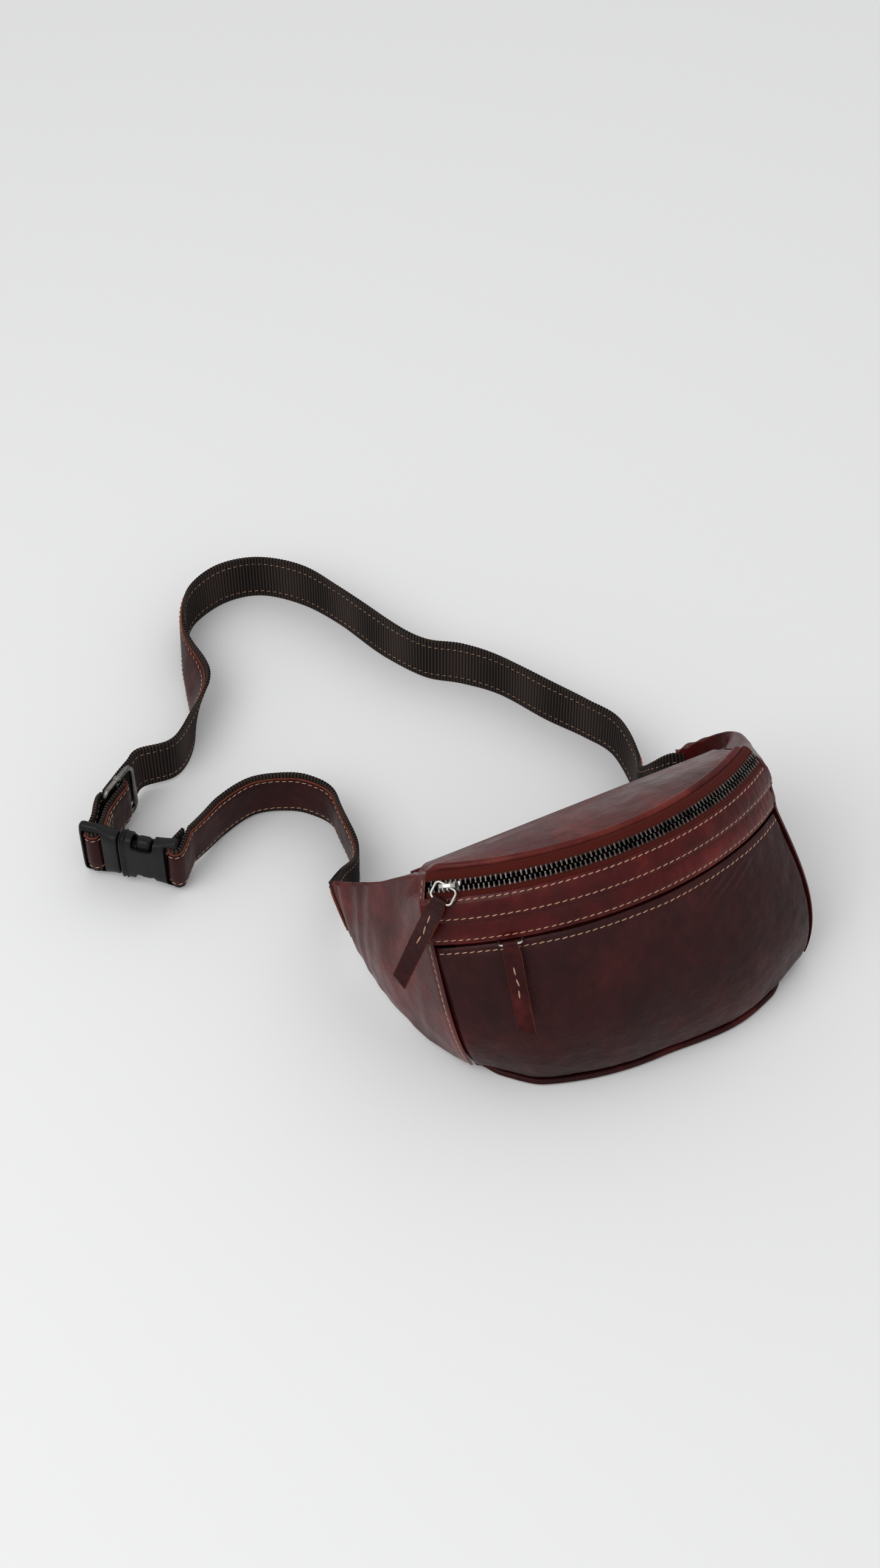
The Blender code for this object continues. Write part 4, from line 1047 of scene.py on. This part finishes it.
def fray(name, roots, along):
    ahead = along.normalized()
    shape = bmesh.new()
    for n, root in enumerate(roots):
        reach = 0.0016 + 0.0012 * math.sin(n * 2.3) ** 2
        bend = Vector((math.sin(n * 7.1), math.cos(n * 5.3), math.sin(n * 3.7))) * 0.0009
        points = [root - ahead * 0.001, root + ahead * reach * 0.5 + bend * 0.4, root + ahead * reach + bend]
        hair = tube("hair", points, 0.00016, thread, sides=0)
        shape.from_mesh(hair.data)
        bpy.data.objects.remove(hair)
    return keep(fromBmesh(name, shape, webbingCloth), None)


def settle(places, rows, how):
    for obj, node, slotName in places:
        how(obj)
        keep(obj, None, node, slotName)
    for obj in rows:
        how(obj)


clear = belt["collar"] + 0.0005 + belt["webbing"] / 2
bar = belt["socketBar"]
arrive = [nearBar(bar, belt["wrap"], 0.017), nearBar(bar, belt["wrap"], 0.007)]
tuck = [nearBar(bar, -belt["wrap"], 0.005), nearBar(bar, -belt["wrap"] * 0.5, 0.010),
        nearBar(bar, 0.0002, 0.015)]
first, second = [Vector(p) for p in shortRoute[:2]]
inWing = first + (first - second).normalized() * 0.0050
route = through([inWing] + shortRoute + arrive[:1], 160)[:-1]
route += through(arrive + wrapPoints(bar, 2 * math.pi, math.pi) + tuck, 60)
settle(*strap("shortStrap", beltLine(route), 1, ("short_strap_webbing", "short_strap_leather"),
              (0.0055, -0.0185, 0)), lambda o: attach(o, "bag"))
threaded = [adjusterPoint(clear, along) for along in (0.030, 0.018, 0.005, -0.0105)]


def rollOver(p):
    return 0.0150 * hump(p.y - 0.366, 0.030) if p.x < -0.1 else 0.0


entry = [(0.1010, 0.1190, 0.0385)]
settle(*strap("longStrap", beltLine(entry + longRoute + threaded), -1,
              ("long_strap_webbing", "long_strap_leather"), (0, -0.0150, 0), rollOver),
       lambda o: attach(o, "bag"))
bar = belt["plugBar"]
start = [adjusterPoint(clear, -0.0125), adjusterPoint(clear, -0.0180), nearBar(bar, -belt["wrap"], 0.012)]
back = [nearBar(bar, belt["wrap"], 0.010), adjusterPoint(-clear - 0.0012, -0.020),
        adjusterPoint(-clear, -0.006), adjusterPoint(-clear, 0.0)]
hook = [adjusterPoint(-clear * math.cos(t), clear * math.sin(t)) for t in (0.5, 1.0, 1.5)]
loopLine = beltLine(start + wrapPoints(bar, math.pi, 2 * math.pi) + back + hook)
settle(*strap("plugLoop", loopLine, -1, ("plug_loop_webbing", "plug_loop_leather"), cross=(0.052, 0.064)),
       lambda o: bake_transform(o))
print("belt built")


def cut(target, cutter, operation="DIFFERENCE"):
    step = target.modifiers.new("cut", "BOOLEAN")
    step.operation = operation
    step.solver = "EXACT"
    step.object = cutter
    bake(target)
    bpy.data.objects.remove(cutter)


def tool(low, high, bevel, segments=5):
    shape = bmesh.new()
    bmesh.ops.create_cube(shape, size=1.0)
    bmesh.ops.scale(shape, vec=[b - a for a, b in zip(low, high)], verts=shape.verts)
    bmesh.ops.translate(shape, vec=[(a + b) / 2 for a, b in zip(low, high)], verts=shape.verts)
    bmesh.ops.bevel(shape, geom=shape.edges[:], offset=bevel, segments=segments, profile=0.5,
                    affect="EDGES", material=-1)
    return fromBmesh("tool", shape, plastic)


# Each station is a place along the buckle, half the height and half the thickness there.
def loft(name, stations, power=2.8, around=72, step=0.00035):
    low = stations[0][0]
    high = stations[-1][0]
    rim = 0.0014
    shape = bmesh.new()
    bmesh.ops.create_grid(shape, x_segments=round((high - low) / step), y_segments=around, size=0.5)

    def size(x):
        for a, b in zip(stations, stations[1:]):
            if x <= b[0] + 1e-9:
                t = ease((x - a[0]) / (b[0] - a[0]))
                return [a[n] + (b[n] - a[n]) * t for n in (1, 2)]
        return stations[-1][1:]
    for point in shape.verts:
        x = low + (point.co.x + 0.5) * (high - low)
        tall, thick = size(x)
        turn = 2 * math.pi * ((point.co.y + 0.5) % 1.0)
        c, s = math.cos(turn), math.sin(turn)
        end = min(x - low, high - x)
        shrink = rim * max(0.0, 1 - end / rim) ** 2
        point.co = (x, (thick - shrink) * math.copysign(abs(c) ** (2 / power), c),
                    (tall - shrink) * math.copysign(abs(s) ** (2 / (power + 3)), s))
    bmesh.ops.remove_doubles(shape, verts=shape.verts, dist=0.00001)
    bmesh.ops.holes_fill(shape, edges=[e for e in shape.edges if e.is_boundary], sides=0)
    outward(shape)
    return fromBmesh(name, shape, plastic)


def place(obj):
    obj.data.transform(buckleFrame)
    return smoothEdges(obj, 38)


socket = loft("buckleSocket", [
    (-0.0085, 0.0198, 0.0062), (-0.0076, 0.0206, 0.0070), (-0.0068, 0.0210, 0.0073),
    (-0.0060, 0.0201, 0.0066), (-0.0050, 0.0201, 0.0066), (-0.0042, 0.0209, 0.0073),
    (-0.0034, 0.0199, 0.0066), (0.0080, 0.0190, 0.0068), (0.0140, 0.0190, 0.0065),
    (0.0312, 0.0232, 0.0046)])
cut(socket, tool((-0.0200, -0.0046, -0.0172), (0.0190, 0.0046, 0.0172), 0.0015))
for side in (-1, 1):
    low, high = sorted((side * 0.0122, side * 0.0300))
    cut(socket, tool((0.0003, -0.02, low), (0.0152, 0.02, high), 0.0034))
cut(socket, tool((0.0224, -0.02, -0.0195), (0.0350, 0.02, 0.0195), 0.0016))
cut(socket, tool((belt["socketBar"] - 0.0015, -0.0016, -0.0212), (belt["socketBar"] + 0.0015, 0.0016, 0.0212),
                 0.0006, 3), "UNION")
keep(place(socket), "bag", "buckle_socket", "acetal")

plug = loft("bucklePlug", [(-0.0355, 0.0224, 0.0040), (-0.0325, 0.0231, 0.0043), (-0.0250, 0.0228, 0.0044),
                           (-0.0120, 0.0190, 0.0062), (-0.0090, 0.0192, 0.0062)])
cut(plug, tool((-0.0336, -0.02, -0.0196), (-0.0199, 0.02, 0.0196), 0.0022))
cut(plug, tool((belt["plugBar"] - 0.0014, -0.0013, -0.0210), (belt["plugBar"] + 0.0014, 0.0013, 0.0210),
               0.0005, 3), "UNION")
cut(plug, tool((-0.0110, -0.0040, -0.0070), (-0.0050, 0.0040, 0.0070), 0.0008, 3), "UNION")
cut(plug, tool((-0.0110, -0.0025, -0.0040), (0.0150, 0.0025, 0.0040), 0.0010, 3), "UNION")
keep(place(plug), "plug", "buckle_plug", "acetal")
for name, node, body, side in (("latchUpper", "latch_arm_upper", "upper_latch", 1),
                               ("latchLower", "latch_arm_lower", "lower_latch", -1)):
    low, high = sorted((side * 0.0085, side * 0.0122))
    arm = tool((-0.0085, -0.0030, low), (0.0120, 0.0030, high), 0.0008, 3)
    arm.name = name
    low, high = sorted((side * 0.0096, side * 0.0188))
    cut(arm, tool((0.0026, -0.0044, low), (0.0138, 0.0044, high), 0.0036, 8), "UNION")
    keep(place(arm), body, node, "acetal")


def upright(along, height):
    point = adjusterPoint(0, along)
    return Vector((point.x, point.y, height))


low = belt["rod"] + 0.0002
high = belt["tall"] - belt["rod"]
points = [upright(x, z) for x, z in roundedLoop(belt["long"] / 2 - belt["rod"], low, high, 0.0062, 12)]
keep(tube("adjusterFrame", points, belt["rod"], gunmetal, closed=True, sides=8), "bag",
     "adjuster", "gunmetal")
keep(tube("adjusterBar", [upright(0, low), upright(0, (low + high) / 2), upright(0, high)], belt["rod"] * 0.9,
          gunmetal, sides=8), "bag", None, "gunmetal")
aim = (upright(1, 0) - upright(0, 0)).to_track_quat("Z", "Y").to_matrix().to_4x4()
for n, height in enumerate((low, high)):
    middle = upright(0, max(height, belt["collar"] + 0.0002))
    shape = bmesh.new()
    bmesh.ops.create_cone(shape, cap_ends=True, segments=40, radius1=belt["collar"], radius2=belt["collar"],
                          depth=0.0034)
    rim = [e for e in shape.edges if e.calc_face_angle(0) > 1.0]
    bmesh.ops.bevel(shape, geom=rim, offset=0.0008, segments=4, profile=0.5, affect="EDGES", material=-1)
    bmesh.ops.transform(shape, matrix=Matrix.Translation(middle) @ aim, verts=shape.verts)
    keep(smoothEdges(fromBmesh(f"adjusterCollar{n}", shape, gunmetal), 40), "bag", None, "gunmetal")
print("buckle built")

floorMat = newMaterial("paleFloor", (0.745, 0.745, 0.745), 0.9)[0]
shape = bmesh.new()
bmesh.ops.create_grid(shape, x_segments=1, y_segments=1, size=4.0)
floor = fromBmesh("floor", shape, floorMat, False)
floor.location.z = -0.0005


def softLight(name, place, target, power, size):
    data = bpy.data.lights.new(name, "AREA")
    data.energy = power
    data.shape = "DISK"
    data.size = size
    obj = newObject(name, data)
    obj.location = place
    obj.rotation_euler = (Vector(target) - Vector(place)).to_track_quat("-Z", "Y").to_euler()


softLight("keyLight", (-1.4, -0.25, 1.8), (0, 0.1, 0), 21, 1.8)
softLight("fillLight", (1.2, 0.9, 1.9), (0, 0.1, 0.05), 4, 1.8)
softLight("frontLight", (-0.3, -1.6, 1.3), (0, 0.05, 0.08), 1.5, 1.4)
world = bpy.data.worlds.new("studio")
world.use_nodes = True
setInputs(world.node_tree.nodes["Background"], {"Color": (0.985, 0.99, 1.0, 1), "Strength": 0.76})
bpy.context.scene.world = world
bpy.context.scene.view_settings.view_transform = "Standard"

lens = bpy.data.cameras.new("camera")
lens.sensor_fit = "AUTO"
lens.sensor_width = 36.0
lens.lens = 54.5
camera = newObject("camera", lens)
camera.location = (-0.4861, -0.7027, 1.2341)
camera.rotation_euler = (math.radians(40), 0, math.radians(-26.6))
bpy.context.scene.camera = camera

print("triangles", sum(len(p.vertices) - 2 for o in made for p in o.data.polygons))
